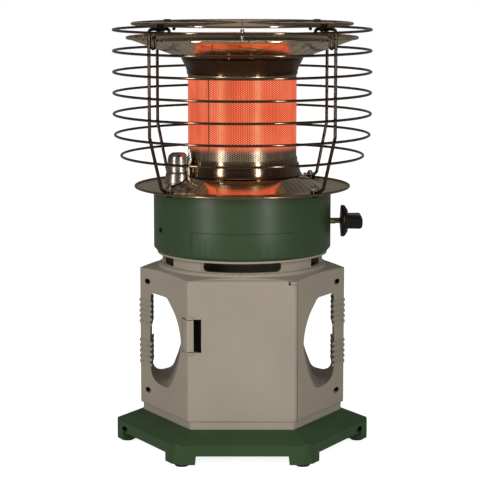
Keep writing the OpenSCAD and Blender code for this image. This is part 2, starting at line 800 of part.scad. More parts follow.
// Plate in the door's window with a wing round the cabinet edge and rails behind the door
module door_latch() {
    wing_y = -(cab_r - latch_wing_x) / tan(30) - 1.5;
    corner_x = -door_half_w - 0.8;
    face_y = door_y - 0.6;
    rail_y = door_y + door_t + free_gap;
    rail_t = pocket_y - free_gap - rail_y;
    web_t = 1.6;
    color(tan_c) {
        translate([0, 0, z_latch - latch_h / 2]) linear_extrude(latch_h) polygon([
            [-latch_x, face_y], [corner_x, face_y], [-latch_wing_x, wing_y],
            [-latch_wing_x + latch_t, wing_y + 1], [corner_x + latch_t + 0.4, face_y + latch_t],
            [-latch_x - web_t, face_y + latch_t], [-latch_x - web_t, rail_y + rail_t],
            [-latch_x, rail_y + rail_t]]);
        for (s = [-1, 1]) translate([-latch_x - web_t, rail_y, z_latch + s * (latch_h / 2 + 1) - 2.5])
            cube([web_t, rail_t, 5]);
    }
}

// ---- Drum ----

function drum_line() = [[drum_r - drum_bevel + 0.8, z_drum], [drum_r, z_drum + drum_bevel], [drum_r, z_dish]];

module drum_wall() {
    line = drum_line();
    rotate_extrude() polygon([line[0] + [-drum_flange, 0], line[0], line[1], line[2],
        line[2] - [drum_flange, 0], line[2] - [drum_flange, drum_t], line[2] - [drum_t, drum_t],
        line[1] - [drum_t, 0], line[0] + [-drum_t * 0.6, drum_t], line[0] + [-drum_flange, drum_t]]);
}

// Wedge that parts the access panel from the drum
module panel_wedge(gap) {
    rotate([0, 0, 270 - panel_a - gap / drum_r * 57.3]) translate([0, 0, z_drum + drum_t + 0.2 - gap])
        rotate_extrude(angle = 2 * (panel_a + gap / drum_r * 57.3))
            translate([drum_r - 8, 0]) square([20, panel_h + 2 * gap]);
}

module drum() {
    color(green) difference() {
        drum_wall();
        panel_wedge(free_gap);
        translate([drum_r - 5, 0, z_stem]) rotate([0, 90, 0])
            cylinder(d = stem_d + 2 * free_gap + 1, h = 10);
        for (a = DRUM_SCREWS) rotate([0, 0, a]) translate([drum_r - 4, 0, z_drum + drum_screw_z])
            rotate([0, 90, 0]) cylinder(d = shank_d + 2 * fit_gap, h = 8, $fn = 32);
    }
}

module drum_access_panel() {
    color(green) intersection() {
        drum_wall();
        panel_wedge(0);
    }
}

// Plate that carries the gas parts, with three tabs up the drum wall
module drum_floor() {
    plate_r = drum_r - drum_t - 0.4;
    tab_w = 16;
    color(zinc) difference() {
        union() {
            translate([0, 0, z_floor]) cylinder(r = plate_r, h = drum_t);
            for (a = DRUM_SCREWS) rotate([0, 0, a]) intersection() {
                translate([0, 0, z_floor]) difference() {
                    cylinder(r = plate_r, h = drum_screw_z - floor_lift + 6);
                    translate([0, 0, -eps]) cylinder(r = plate_r - 1.2, h = big);
                }
                translate([0, -tab_w / 2, 0]) cube([big, tab_w, big]);
            }
        }
        translate([0, 0, z_floor - 1]) cylinder(r = inlet_r + 3.5 + fit_gap, h = 5);
        for (a = DRUM_SCREWS) rotate([0, 0, a]) translate([plate_r - 4, 0, z_drum + drum_screw_z])
            rotate([0, 90, 0]) cylinder(d = shank_d + 2 * fit_gap, h = 8, $fn = 32);
        for (a = [0:5]) rotate([0, 0, 60 * a + 15]) translate([72, 0, z_floor - 1]) cylinder(r = 8, h = 5);
    }
}

module drum_screws() {
    color(black) for (a = DRUM_SCREWS) rotate([0, 0, a])
        translate([drum_r, 0, z_drum + drum_screw_z]) rotate([0, 90, 0]) {
            cylinder(d1 = head_d, d2 = head_d - 1.6, h = 1.8, $fn = 32);
            translate([0, 0, -7]) cylinder(d = shank_d, h = 7 + eps, $fn = 32);
        }
}

// Shield between the burner and the gas parts
module heat_shield() {
    skirt_r = drum_r - drum_t - free_gap;
    color(zinc) difference() {
        union() {
            translate([0, 0, z_shield]) cylinder(r = skirt_r, h = drum_t);
            translate([0, 0, z_shield - 6]) difference() {
                cylinder(r = skirt_r, h = 6 + eps);
                translate([0, 0, -eps]) cylinder(r = skirt_r - drum_t, h = 8);
            }
        }
        translate([0, 0, z_shield - 1]) cylinder(r = mixer_r + 6, h = 5);
        translate([hood_x, hood_y, z_shield - 1]) cylinder(d = pilot_tube_d + 2, h = 5, $fn = 32);
        translate([thermo_x, thermo_y, z_shield - 1]) cylinder(d = thermo_d + 2, h = 5, $fn = 32);
    }
}

// ---- Burner ----

module lower_reflector() {
    color(steel) difference() {
        union() {
            turned_sheet([[mixer_r + 3, z_plateau], [dish_top_r, z_plateau], [dish_cone_r, z_dish_top],
                [dish_r, z_dish_top]], sheet_t);
            torus(dish_r, z_dish_top + bead_lift, 2 * roll_r);
        }
        for (a = UPRIGHTS) rotate([0, 0, a]) translate([guard_screw_r, 0, z_dish - 3])
            cylinder(d = 4 + 2 * fit_gap, h = 8, $fn = 32);
        for (a = COLLAR_TABS) rotate([0, 0, a]) collar_tab_place() translate([0, 0, -4])
            cylinder(d = shank_d + 2 * fit_gap, h = 8, $fn = 32);
        translate([hood_x, hood_y, z_dish]) cylinder(d = pilot_tube_d + 2 * free_gap, h = 30, $fn = 32);
        translate([thermo_x, thermo_y, z_dish]) cylinder(d = thermo_d + 2 * free_gap, h = 30, $fn = 32);
    }
}

// Frame on the cone of the reflector, for the tabs and their screws
module collar_tab_place() {
    translate([tab_r, 0, dish_z(tab_r)]) rotate([0, cone_a, 0]) children();
}

module burner_collar() {
    top = z_collar + collar_h;
    color(steel) difference() {
        union() {
            turned_wall([[collar_foot_r, z_collar], [collar_foot_r - 1.7, z_collar + 3],
                [collar_foot_r - 2.9, z_collar + 7], [collar_foot_r - 3.4, z_collar_step],
                [screen_r + 2.2, z_collar_step + 1], [screen_r + 1.3, z_collar_step + 2.5],
                [screen_r + 1.1, top]], sheet_t);
            for (a = COLLAR_TABS) rotate([0, 0, a]) {
                collar_tab_place() translate([-8, -tab_w / 2, weld_gap]) cube([13, tab_w, tab_t]);
                translate([collar_foot_r - 1.8, -tab_w / 2, z_plateau + weld_gap])
                    cube([1.6, tab_w, collar_gap + 3]);
            }
        }
        for (a = COLLAR_TABS) rotate([0, 0, a]) collar_tab_place() translate([0, 0, -4])
            cylinder(d = shank_d + 2 * fit_gap, h = 8, $fn = 32);
    }
}

module collar_screws() {
    color(steel) for (a = COLLAR_TABS) rotate([0, 0, a]) collar_tab_place()
        translate([0, 0, tab_t + weld_gap]) {
            intersection() {
                cylinder(d = 6, h = 2.4, $fn = 32);
                translate([0, 0, -1.6]) sphere(r = 4, $fn = 48);
            }
            translate([0, 0, -5]) cylinder(d = shank_d, h = 5 + eps, $fn = 32);
        }
}

// Closing plate under the screens
module burner_pan() {
    color(dark_steel) translate([0, 0, z_pan]) difference() {
        union() {
            cylinder(r = screen_r + 0.4, h = pan_t);
            translate([0, 0, -6]) cylinder(r = mixer_r + 2, h = 6 + eps);
        }
        translate([0, 0, -7]) cylinder(r = mixer_r + fit_gap, h = 10);
    }
}

module mixer_tube() {
    color(dark_steel) difference() {
        union() {
            translate([0, 0, z_mixer]) cylinder(r = mixer_r, h = z_screen - z_mixer + 4);
            translate([0, 0, z_plateau - sheet_t - 1.5]) cylinder(r = mixer_r + 5, h = 1.5);
        }
        translate([0, 0, z_mixer + 1.2]) cylinder(r = mixer_r - 1.2, h = big);
        translate([0, 0, z_mixer - 1]) cylinder(r = 3 + fit_gap, h = 4, $fn = 32);
        for (i = [0:air_holes - 1]) rotate([0, 0, 360 / air_holes * (i + 0.5)])
            translate([0, 0, z_mixer + 8]) rotate([0, 90, 0]) cylinder(d = 9, h = big, $fn = 48);
    }
}

module jet_holder() {
    color(brass) difference() {
        union() {
            translate([0, 0, z_jet_holder]) cylinder(r = jet_holder_r, h = jet_holder_h);
            translate([0, 0, z_jet - 4]) cylinder(r = mixer_r - 2, h = 4);
        }
        translate([0, 0, z_jet_holder + 3]) cylinder(r = 2, h = big, $fn = 32);
    }
}

module burner_jet() {
    color(brass) translate([0, 0, z_jet]) difference() {
        cylinder(r = 3, h = jet_h, $fn = 32);
        translate([0, 0, -1]) cylinder(r = 0.6, h = jet_h + 2, $fn = 32);
    }
}

// Finely perforated cylinders, shown plain
module screen_tube(r, z0, z1, t) {
    translate([0, 0, z0]) difference() {
        cylinder(r = r, h = z1 - z0);
        translate([0, 0, -1]) cylinder(r = r - t, h = z1 - z0 + 2);
    }
}

module emitter_screen() { color(glow) screen_tube(emitter_r, z_screen, z_screen_top, 1); }
module burner_screen() { color([0.90, 0.45, 0.25]) screen_tube(screen_r, z_screen, z_screen_top, 0.8); }

// Flared ring that closes the screens and carries the upper reflector
module upper_collar() {
    color(dark_steel) difference() {
        union() {
            turned_wall([[screen_r + 1.1, z_flare], [screen_r + 1.2, z_flare + 3], [flare_r, z_upper - 0.4],
                [flare_r - 0.6, z_upper]], sheet_t);
            translate([0, 0, z_screen_top]) cylinder(r = screen_r + 1.4, h = 1.2);
            turned_sheet([[flare_r - 8, z_upper], [flare_r - 0.6, z_upper]], sheet_t);
        }
        translate([0, 0, z_screen_top - 1]) cylinder(d = stud_d + 2 * fit_gap, h = 4, $fn = 32);
    }
}

module upper_reflector() {
    color(dark_steel) difference() {
        union() {
            turned_sheet([[0, z_upper + sheet_t], [flare_r, z_upper + sheet_t],
                [upper_r, z_rim_upper]], sheet_t);
            torus(upper_r, z_rim_upper - 0.6, 2 * roll_r * 0.8);
        }
        translate([0, 0, z_upper - 1]) cylinder(d = stud_d + 2 * fit_gap, h = 4, $fn = 32);
    }
}

module centre_stud() {
    color(steel) {
        translate([0, 0, z_screen_top - 8]) cylinder(d = stud_d, h = z_upper + sheet_t + stud_h - z_screen_top + 8);
        translate([0, 0, z_screen_top - 4]) cylinder(d = stud_d + 7, h = 4, $fn = 48);
    }
}

module stud_nut() {
    color(steel) translate([0, 0, z_upper + sheet_t]) difference() {
        union() {
            cylinder(d = stud_d * 2.6, h = 1.2);
            translate([0, 0, 1.2 - eps]) cylinder(d = stud_d * 1.9, h = 4, $fn = 6);
        }
        translate([0, 0, -1]) cylinder(d = stud_d + 2 * fit_gap, h = 8, $fn = 32);
    }
}

// ---- Guard ----

// Ring number n, counted from the top. It is welded to the outside of the uprights.
module guard_ring(n) {
    z = z_ring_top - (n - 1) * ring_pitch;
    color(wire_c) torus(ring_at(z), z, ring_d);
}

// Upright wire: foot with an eye, lean, straight part and spoke under the grille
module upright(a) {
    color(wire_c) rotate([0, 0, a]) difference() {
        union() {
            wire([[guard_screw_r + 2, 0, z_foot], [dish_r - 4.5, 0, z_foot + 0.5], [dish_r - 0.5, 0, z_over],
                [foot_r, 0, z_lean], [upright_r, 0, z_bend], [upright_r, 0, z_spoke - 1.2],
                [upright_r - 1.2, 0, z_spoke], [spoke_in_r, 0, z_spoke]], upright_d);
            translate([guard_screw_r, 0, z_dish_top]) cylinder(d = 11, h = 2.5, $fn = 48);
        }
        translate([guard_screw_r, 0, z_dish_top - 1]) cylinder(d = 4 + 2 * fit_gap, h = 8, $fn = 32);
        translate([guard_screw_r, 0, z_dish_top + 2.5]) cylinder(d = 9.6, h = 4, $fn = 48);
    }
}

module guard_screws() {
    color(steel) for (a = UPRIGHTS) rotate([0, 0, a]) translate([guard_screw_r, 0, z_dish_top + 2.5]) {
        intersection() {
            cylinder(d = 8, h = 4.5, $fn = 32);
            translate([0, 0, -0.4]) sphere(r = 5, $fn = 48);
        }
        translate([0, 0, -8]) cylinder(d = 4, h = 8 + eps, $fn = 32);
    }
}

module guard_nuts() {
    color(steel) for (a = UPRIGHTS) rotate([0, 0, a]) translate([guard_screw_r, 0, z_dish - 3.2])
        difference() {
            cylinder(d = 7 / hex_k, h = 3.2, $fn = 6);
            translate([0, 0, -1]) cylinder(d = 4 + 2 * fit_gap, h = 6, $fn = 32);
        }
}

// Bent wires welded to the uprights: each holds the rim of the upper reflector from below
module reflector_hooks() {
    hook_d = 3;
    reach = upright_r - (upright_d + hook_d) / 2 - weld_gap;
    rim_z = z_rim_upper;
    color(wire_c) for (a = UPRIGHTS) rotate([0, 0, a]) {
        tube([[reach, 0, rim_z + 5], [reach, 0, rim_z - 7], [reach - 3, 0, rim_z - 11],
            [upper_r - 1, 0, rim_z - 6.5], [upper_r - 4, 0, rim_z - 4.4]], hook_d);
    }
}

// Concentric rings and spokes, flush with each other
module top_grille() {
    hub_r = 20;
    step = (grille_r - hub_r) / (grille_rings - 1);
    color(wire_c) translate([0, 0, z_grille - ring_d / 2]) linear_extrude(ring_d) {
        for (i = [0:grille_rings - 1]) difference() {
            circle(r = hub_r + i * step + ring_d / 2);
            circle(r = hub_r + i * step - ring_d / 2);
        }
        for (i = [0:grille_spokes - 1]) rotate(360 / grille_spokes * i)
            translate([hub_r, -ring_d / 2]) square([grille_r - hub_r, ring_d]);
    }
}

// Straps that tie the outer ring of the grille to the spokes
module grille_clips() {
    half_w = upright_d / 2 + clip_t;
    z0 = z_spoke - upright_d / 2 - clip_t;
    ring_slot = ring_d + 0.4;
    color(wire_c) for (a = UPRIGHTS) rotate([0, 0, a]) translate([grille_r, 0, 0]) difference() {
        translate([-clip_w / 2, -half_w, z0])
            cube([clip_w, 2 * half_w, z_grille + ring_d / 2 + clip_t - z0]);
        translate([-clip_w, -upright_d / 2 - weld_gap, z0 + clip_t - weld_gap])
            cube([2 * clip_w, upright_d + 2 * weld_gap, z_grille + ring_d / 2 - z0 - clip_t + 2 * weld_gap]);
        translate([-ring_slot / 2, -half_w - 1, z_grille - ring_slot / 2])
            cube([ring_slot, 2 * half_w + 2, ring_slot / 2 + ring_d / 2 + weld_gap]);
    }
}

// ---- Pilot ----

module pilot_hood() {
    flare_z = z_hood + 12;
    top = z_hood + hood_h;
    color(steel) difference() {
        translate([hood_x, hood_y, 0]) turned_wall([[hood_r, z_hood], [hood_r - 1.2, z_hood + 3],
            [hood_r - 2.2, flare_z], [hood_r - 4.2, flare_z + 4], [hood_r - 4.8, top - 8],
            [hood_r - 6, top - 3.4], [hood_r - 9.5, top - 0.6], [0.9, top]], sheet_t);
        cylinder(r = collar_foot_r + free_gap, h = 2 * big);
        rotate([0, 0, hood_a]) translate([dish_top_r, 0, z_plateau + free_gap / cos(cone_a)])
            rotate([0, cone_a, 0]) translate([-big, -big, -2 * big]) cube(2 * big);
    }
}

module pilot_burner() {
    color(brass) translate([hood_x, hood_y, 0]) {
        difference() {
            translate([0, 0, z_plateau + 4]) cylinder(r = 5, h = 16);
            translate([0, 0, z_plateau + 3]) cylinder(d = pilot_tube_d + 2 * fit_gap, h = 9, $fn = 32);
            translate([0, 0, z_plateau + 12]) cylinder(r = 1, h = 12, $fn = 32);
        }
    }
}

// A point of the thin tubes' run round the drum
function on_run(a) = [tube_run_r * cos(a), tube_run_r * sin(a), z_shield - 9];

module pilot_tube() {
    port = [valve_x0 + 18, 0, z_stem + valve_h / 2];
    color(zinc) tube([port, port + [0, 0, 5], on_run(22), on_run(90), on_run(152),
        [hood_x, hood_y, z_shield - 9], [hood_x, hood_y, z_plateau + 12]], pilot_tube_d);
}

module thermocouple() {
    port = [valve_x0 + 10, -9, z_stem + valve_h / 2];
    color(steel) {
        tube([port, port + [0, 0, z_shield - 11 - port[2]], on_run(-60), on_run(-120),
            [thermo_x, thermo_y, z_shield - 9], [thermo_x, thermo_y, z_plateau + 4]], thermo_d - 0.8);
        tube([[thermo_x, thermo_y, z_plateau + 3.9], [thermo_x, thermo_y, z_thermo - 22],
            [thermo_x + 2.6, thermo_y, z_thermo - 12], [thermo_x + 0.4, thermo_y, z_thermo]], thermo_d);
    }
}

// ---- Valve and knob ----

module gas_valve_body() {
    color(brass) difference() {
        union() {
            translate([valve_x0, -valve_w / 2, z_stem - valve_h / 2]) cube([valve_x1 - valve_x0, valve_w, valve_h]);
            translate([valve_x1 - eps, 0, z_stem]) rotate([0, 90, 0]) cylinder(r = bush_r, h = bush_x1 - valve_x1 + eps);
        }
        translate([valve_x0 + 4, 0, z_stem]) rotate([0, 90, 0]) cylinder(r = cavity_r, h = valve_x1 - valve_x0 - 8);
        translate([valve_x0 + 4, 0, z_stem]) rotate([0, 90, 0])
            cylinder(d = stem_d + 2 * fit_gap, h = big, $fn = 48);
    }
}

module valve_bracket() {
    z0 = z_floor + drum_t;
    z1 = z_stem - valve_h / 2;
    x0 = valve_x0 + 2;
    x1 = valve_x1 - 2;
    color(zinc) {
        translate([x0, -15, z0]) cube([x1 - x0, 30, 1.5]);
        translate([x0, -15, z1 - 1.5]) cube([x1 - x0, 30, 1.5]);
        translate([x1 - 1.5, -15, z0]) cube([1.5, 30, z1 - z0]);
    }
}

module valve_stem() {
    color(brass) difference() {
        translate([stem_x0, 0, z_stem]) rotate([0, 90, 0])
            cylinder(d = stem_d, h = knob_x0 + 11 - stem_x0, $fn = 48);
        translate([drum_r + push_travel + 2, -5, z_stem - stem_d / 2 - 1]) cube([big, 10, 1.9]);
    }
}

module thrust_ring() {
    color(steel) translate([ring_x0, 0, z_stem]) rotate([0, 90, 0]) difference() {
        cylinder(r = cavity_r - 1, h = 2);
        translate([0, 0, -1]) cylinder(d = stem_d + 2 * fit_gap, h = 4, $fn = 48);
    }
}

module knob() {
    skirt_r = knob_d / 2;
    color(black) translate([knob_x0, 0, z_stem]) difference() {
        union() {
            rotate([0, 90, 0]) rotate_extrude() polygon([[0, 0], [6, -0.6], [skirt_r - 0.6, 0.6],
                [skirt_r, 1.2], [skirt_r, 4.4], [skirt_r - 1.6, 6.4], [skirt_r - 5, 8], [skirt_r - 8, knob_skirt],
                [0, knob_skirt]]);
            intersection() {
                translate([knob_skirt - 3, 0, 0]) rotate([0, 90, 0]) linear_extrude(knob_grip + 3) polygon(rounded([
                    [-bar_t / 2, -bar_len / 2, 3], [bar_t / 2, -bar_len / 2, 3],
                    [bar_t / 2, bar_len / 2, 3], [-bar_t / 2, bar_len / 2, 3]]));
                rotate([90, 0, 0]) translate([0, 0, -20]) linear_extrude(40) polygon(rounded([
                    [0, -bar_t / 2 - 1, 0.5], [knob_skirt + knob_grip, -bar_t / 2 - 1, 4],
                    [knob_skirt + knob_grip, bar_t / 2 + 1, 4], [0, bar_t / 2 + 1, 0.5]]));
            }
        }
        translate([-1, 0, 0]) rotate([0, 90, 0]) cylinder(d = stem_d + 2 * fit_gap, h = 12.2, $fn = 48);
    }
}

// ---- Regulator and pipes ----

module regulator_inlet() {
    outer = inlet_r + 3.5;
    top = z_reg;
    color(brass) translate([0, 0, z_inlet]) difference() {
        union() {
            cylinder(r = outer, h = top - z_inlet);
            translate([0, 0, z_floor + drum_t - z_inlet]) cylinder(r = outer + 4, h = top - z_floor - drum_t);
            translate([0, 0, z_floor - 3.5 - z_inlet]) cylinder(d = 2 * outer + 9, h = 3, $fn = 6);
        }
        translate([0, 0, -1]) cylinder(r = inlet_r, h = thread_len + 3);
        cylinder(r = 3, h = big);
    }
}

module regulator_body() {
    color(zinc) difference() {
        union() {
            translate([0, 0, z_reg]) cylinder(r = reg_r, h = reg_h);
            translate([0, 0, z_reg + reg_h / 2 - 1.5]) cylinder(r = reg_r + 3, h = 3);
            translate([0, 0, z_reg + reg_h - eps]) cylinder(r = reg_r - 12, h = 3);
        }
        translate([reg_r - 6, 0, z_inlet_pipe]) rotate([0, 90, 0]) cylinder(d = pipe_d + 2 * fit_gap, h = 30);
    }
}

module inlet_pipe() {
    turn_x = valve_x0 - 9;
    color(brass) tube([[reg_r - 5, 0, z_inlet_pipe], [turn_x, 0, z_inlet_pipe], [turn_x, 0, z_stem - 6],
        [valve_x0, 0, z_stem - 6]], pipe_d);
}

module burner_pipe() {
    turn_x = valve_x0 - 22;
    z_out = z_jet_holder + 8;
    color(brass) tube([[jet_holder_r + weld_gap, 0, z_out], [turn_x, 0, z_out], [turn_x, 8, z_stem + 6],
        [valve_x0 - weld_gap, 8, z_stem + 6]], pipe_d);
}

// Switch that cuts the pilot when the heater tips over
module tip_switch() {
    color(black) translate([switch_x, switch_y, z_floor + drum_t]) {
        cube([24, 18, 20]);
        translate([4, 6, 20 - eps]) cube([3, 6, 5]);
        translate([17, 6, 20 - eps]) cube([3, 6, 5]);
    }
}

rubber_feet();
base_front();
base_rear();
base_screws();
cylinder_tray();
cabinet_front_shell();
cabinet_rear_shell();
cabinet_screws();
door();
door_hinge_pins();
door_latch();
drum();
drum_access_panel();
drum_floor();
drum_screws();
heat_shield();
lower_reflector();
burner_collar();
collar_screws();
burner_pan();
mixer_tube();
jet_holder();
burner_jet();
emitter_screen();
burner_screen();
upper_collar();
upper_reflector();
centre_stud();
stud_nut();
guard_ring(1);  // guard_ring_1
guard_ring(2);  // guard_ring_2
guard_ring(3);  // guard_ring_3
guard_ring(4);  // guard_ring_4
guard_ring(5);  // guard_ring_5
guard_ring(6);  // guard_ring_6
guard_ring(7);  // guard_ring_7
upright(UPRIGHTS[0]);  // upright_front_right
upright(UPRIGHTS[1]);  // upright_rear_right
upright(UPRIGHTS[2]);  // upright_rear_left
upright(UPRIGHTS[3]);  // upright_front_left
guard_screws();
guard_nuts();
reflector_hooks();
top_grille();
grille_clips();
pilot_hood();
pilot_burner();
pilot_tube();
thermocouple();
gas_valve_body();
valve_bracket();
valve_stem();
thrust_ring();
knob();
regulator_body();
regulator_inlet();
inlet_pipe();
burner_pipe();
tip_switch();
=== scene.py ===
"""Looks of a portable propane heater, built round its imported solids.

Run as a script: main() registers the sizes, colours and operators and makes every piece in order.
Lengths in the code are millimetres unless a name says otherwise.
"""

import json
import math
from functools import partial

import bmesh
import bpy
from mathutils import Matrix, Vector

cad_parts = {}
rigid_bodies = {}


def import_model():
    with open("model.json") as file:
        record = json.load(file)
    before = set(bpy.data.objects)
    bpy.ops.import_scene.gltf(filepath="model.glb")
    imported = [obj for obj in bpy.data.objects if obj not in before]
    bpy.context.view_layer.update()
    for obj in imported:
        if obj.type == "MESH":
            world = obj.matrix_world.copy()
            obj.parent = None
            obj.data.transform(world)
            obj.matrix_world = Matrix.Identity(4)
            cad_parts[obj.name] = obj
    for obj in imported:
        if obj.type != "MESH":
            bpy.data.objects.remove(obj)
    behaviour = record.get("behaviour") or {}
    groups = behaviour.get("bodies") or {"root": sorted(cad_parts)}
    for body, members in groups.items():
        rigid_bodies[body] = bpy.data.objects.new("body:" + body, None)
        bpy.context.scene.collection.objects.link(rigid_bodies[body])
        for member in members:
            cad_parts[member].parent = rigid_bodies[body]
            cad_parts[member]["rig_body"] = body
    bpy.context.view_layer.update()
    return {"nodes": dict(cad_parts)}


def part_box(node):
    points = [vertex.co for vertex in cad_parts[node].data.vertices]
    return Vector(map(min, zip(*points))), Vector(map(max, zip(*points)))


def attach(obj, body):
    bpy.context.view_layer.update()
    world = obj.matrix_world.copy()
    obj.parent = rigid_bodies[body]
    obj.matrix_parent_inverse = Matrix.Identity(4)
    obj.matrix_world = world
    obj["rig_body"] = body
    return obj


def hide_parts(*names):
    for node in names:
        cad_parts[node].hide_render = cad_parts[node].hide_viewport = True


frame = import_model()

bl_info = {
    "name": "Propane heater looks",
    "version": (1, 0, 0),
    "blender": (4, 5, 0),
    "location": "View3D > Sidebar > Heater",
    "description": "Builds the visible pieces of a portable radiant heater on its packed solids",
    "category": "Add Mesh",
}

MM = 0.001


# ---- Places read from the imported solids, in millimetres ----


def span(node):
    """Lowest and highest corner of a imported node, in millimetres."""
    low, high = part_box(node)
    return low / MM, high / MM


DISH_HIGH = span("lower_reflector")[1]
COLLAR_TOP = span("burner_collar")[1].z
SCREEN_LOW, SCREEN_HIGH = span("burner_screen")
EMITTER_LOW, EMITTER_HIGH = span("emitter_screen")
FLARE_LOW, FLARE_HIGH = span("upper_collar")
UPPER_HIGH = span("upper_reflector")[1]
GRILLE_LOW, GRILLE_HIGH = span("top_grille")
FEET_HIGH = span("rubber_feet")[1]
NECK_TOP = span("cabinet_front_shell")[1].z
LATCH_LOW, LATCH_HIGH = span("door_latch")
KNOB_LOW, KNOB_HIGH = span("knob")

UPRIGHT_ANGLES = {
    "upright_front_right": -45,
    "upright_rear_right": 45,
    "upright_rear_left": 135,
    "upright_front_left": 225,
}
SEAM_ANGLES = (231.8, 232.0, 233.6, 233.8)
DRUM_SCREW_ANGLES = (205, 25, 100)
FRONT_SLOT_HALF = 28.8
SIDE_POST_HALF = 9
SIDE_SLOT_END = 33.4
WAIST_R = 97.5
DRUM_SCREW_R = 108.6
DRUM_SCREW_Z = 270.7
UPRIGHT_FOOT_R = 122.0
UPRIGHT_R = 152.8
UPRIGHT_BEND_Z = 388.4
Z_FLANGE = 319.4
Z_PLATEAU = 333.9
Z_SPOKE = GRILLE_LOW.z - 2.02
SCREEN_R = SCREEN_HIGH.x


# ---- Sizes and colours that a user would change ----


def shade(red, green, blue):
    """A screen colour of 0 to 255 as linear light."""
    return tuple(
        (v / 255 / 12.92) if v <= 10.31475 else ((v / 255 + 0.055) / 1.055) ** 2.4
        for v in (red, green, blue)
    )


def length(name, description, millimetres, low, high):
    """A length property in metres."""
    return bpy.props.FloatProperty(
        name=name,
        description=description,
        default=millimetres * MM,
        min=low * MM,
        max=high * MM,
        precision=5,
        subtype="DISTANCE",
        unit="LENGTH",
    )


def tally(name, description, default, low, high):
    """A count property."""
    return bpy.props.IntProperty(name=name, description=description, default=default, min=low, max=high)


def colour(name, description, *rgb):
    """A colour property written as a screen colour."""
    limits = {"default": shade(*rgb), "min": 0.0, "max": 1.0, "size": 3, "subtype": "COLOR"}
    return bpy.props.FloatVectorProperty(name=name, description=description, **limits)


class HeaterSizes(bpy.types.PropertyGroup):
    """Sizes that the looks add to the solids."""

    edge_soft: length("Moulding edges", "Rounding of the edges of the mouldings", 1.5, 0.2, 3)
    sheet_soft: length("Sheet edges", "Rounding of the edges of the painted sheet", 0.5, 0.1, 2)
    sheet: length("Sheet thickness", "Thickness of the reflectors and collars", 0.8, 0.4, 1.2)
    roll: length("Rolled edge", "Radius of the rolled edge of the lower reflector", 1.4, 0.8, 2)
    hole_pitch: length("Hole pitch", "Spacing of the holes round the burner screen", 2.1, 1.5, 4)
    hole_share: bpy.props.FloatProperty(
        name="Hole share",
        description="Width of a hole against its cell in the burner screen",
        default=0.66,
        min=0.3,
        max=0.85,
        subtype="FACTOR",
    )
    foot_band: length("Glow starts", "Height at which the screen begins to glow", 365.6, 360, 372)
    head_band: length("Glow ends", "Height at which the screen stops glowing", 452.3, 446, 458)
    upright_wire: length("Upright wire", "Diameter of the upright wires", 4.0, 3, 5)
    wire_bend: length("Wire bends", "Radius of the bends in the upright wires", 4.5, 2, 9)
    hook_wire: length("Hook wire", "Diameter of the upper reflector's hooks", 3.0, 2, 4)
    spoke_end: length("Spoke end", "Distance from the axis to a spoke's curl", 124.5, 118, 130)
    eye: length("Foot eye", "Radius of the eye at the foot of an upright", 4.3, 4, 5)
    grille_rings: tally("Grille rings", "Number of rings in the top grille", 6, 4, 7)
    grille_spokes: tally("Grille spokes", "Number of spokes in the top grille", 12, 8, 18)
    lamp_wide: length("Lamp width", "Width of each soft lamp", 300, 100, 2000)
    lamp_tall: length("Lamp height", "Height of each soft lamp", 1700, 100, 3000)


class HeaterColours(bpy.types.PropertyGroup):
    """Colours of the finishes."""

    green: colour("Green paint", "Base mouldings", 48, 71, 41)
    enamel: colour("Green enamel", "Drum and access panel", 41, 61, 29)
    tan: colour("Tan plastic", "Cabinet, door and latch", 147, 137, 122)
    black: colour("Black plastic", "Knob", 24, 15, 13)
    rubber: colour("Rubber", "Feet", 22, 22, 22)
    dish: colour("Lower reflector steel", "Lower reflector", 232, 218, 198)
    collar: colour("Collar steel", "Bell collar under the screen", 152, 135, 117)
    flare: colour("Dark steel", "Collar over the burner", 94, 71, 53)
    upper: colour("Upper reflector steel", "Upper reflector", 232, 206, 160)
    wire: colour("Guard wire", "Rings, uprights, hooks and grille", 112, 98, 84)
    screen: colour("Screen steel", "Burner screen where it is cool", 230, 210, 178)
    brass: colour("Brass", "Stem, valve and pipes", 156, 138, 92)
    zinc: colour("Zinc plate", "Brackets, floor and heat shield", 170, 170, 166)
    screw: colour("Screw black", "Screws in the mouldings and the drum", 30, 29, 28)
    floor: colour("Floor", "Floor under the heater", 231, 231, 231)


def sizes():
    """The sizes in use."""
    return bpy.context.scene.heater_sizes


def colours():
    """The colours in use."""
    return bpy.context.scene.heater_colours


# ---- Node trees ----


class Wiring:
    """Adds nodes to a tree. A socket given as a value is linked, and anything else is set."""

    family = "ShaderNode"

    def __init__(self, tree):
        self.tree = tree

    def add(self, kind, sockets=None, **settings):
        """A node of the tree's family, or of another one that the kind names in full."""
        node = self.tree.nodes.new(kind if "Node" in kind else self.family + kind)
        for key, value in settings.items():
            setattr(node, key, value)
        for key, value in (sockets or {}).items():
            if isinstance(value, bpy.types.NodeSocket):
                self.tree.links.new(value, node.inputs[key])
            else:
                node.inputs[key].default_value = value
        return node

    def out(self, kind, sockets=None, output=0, **settings):
        """The same, returning one output."""
        return self.add(kind, sockets, **settings).outputs[output]

    def math(self, operation, a, b=0.0):
        return self.out("ShaderNodeMath", {0: a, 1: b}, operation=operation)

    def times(self, a, b):
        return self.math("MULTIPLY", a, b)

    def plus(self, a, b):
        return self.math("ADD", a, b)

    def vector(self, x=0.0, y=0.0, z=0.0):
        return self.out("ShaderNodeCombineXYZ", {0: x, 1: y, 2: z})

    def span(self, value, a, b, low=0.0, high=1.0, kind="LINEAR"):
        """A value of a to b carried onto low to high."""
        return self.out("MapRange", {0: value, 1: a, 2: b, 3: low, 4: high}, interpolation_type=kind)

    def mix(self, share, a, b):
        """Two colours mixed."""
        return self.out("Mix", {0: share, 6: a, 7: b}, output=2, data_type="RGBA")

    def level(self, share, a, b):
        """Two numbers mixed."""
        return self.out("Mix", {0: share, 2: a, 3: b}, data_type="FLOAT")


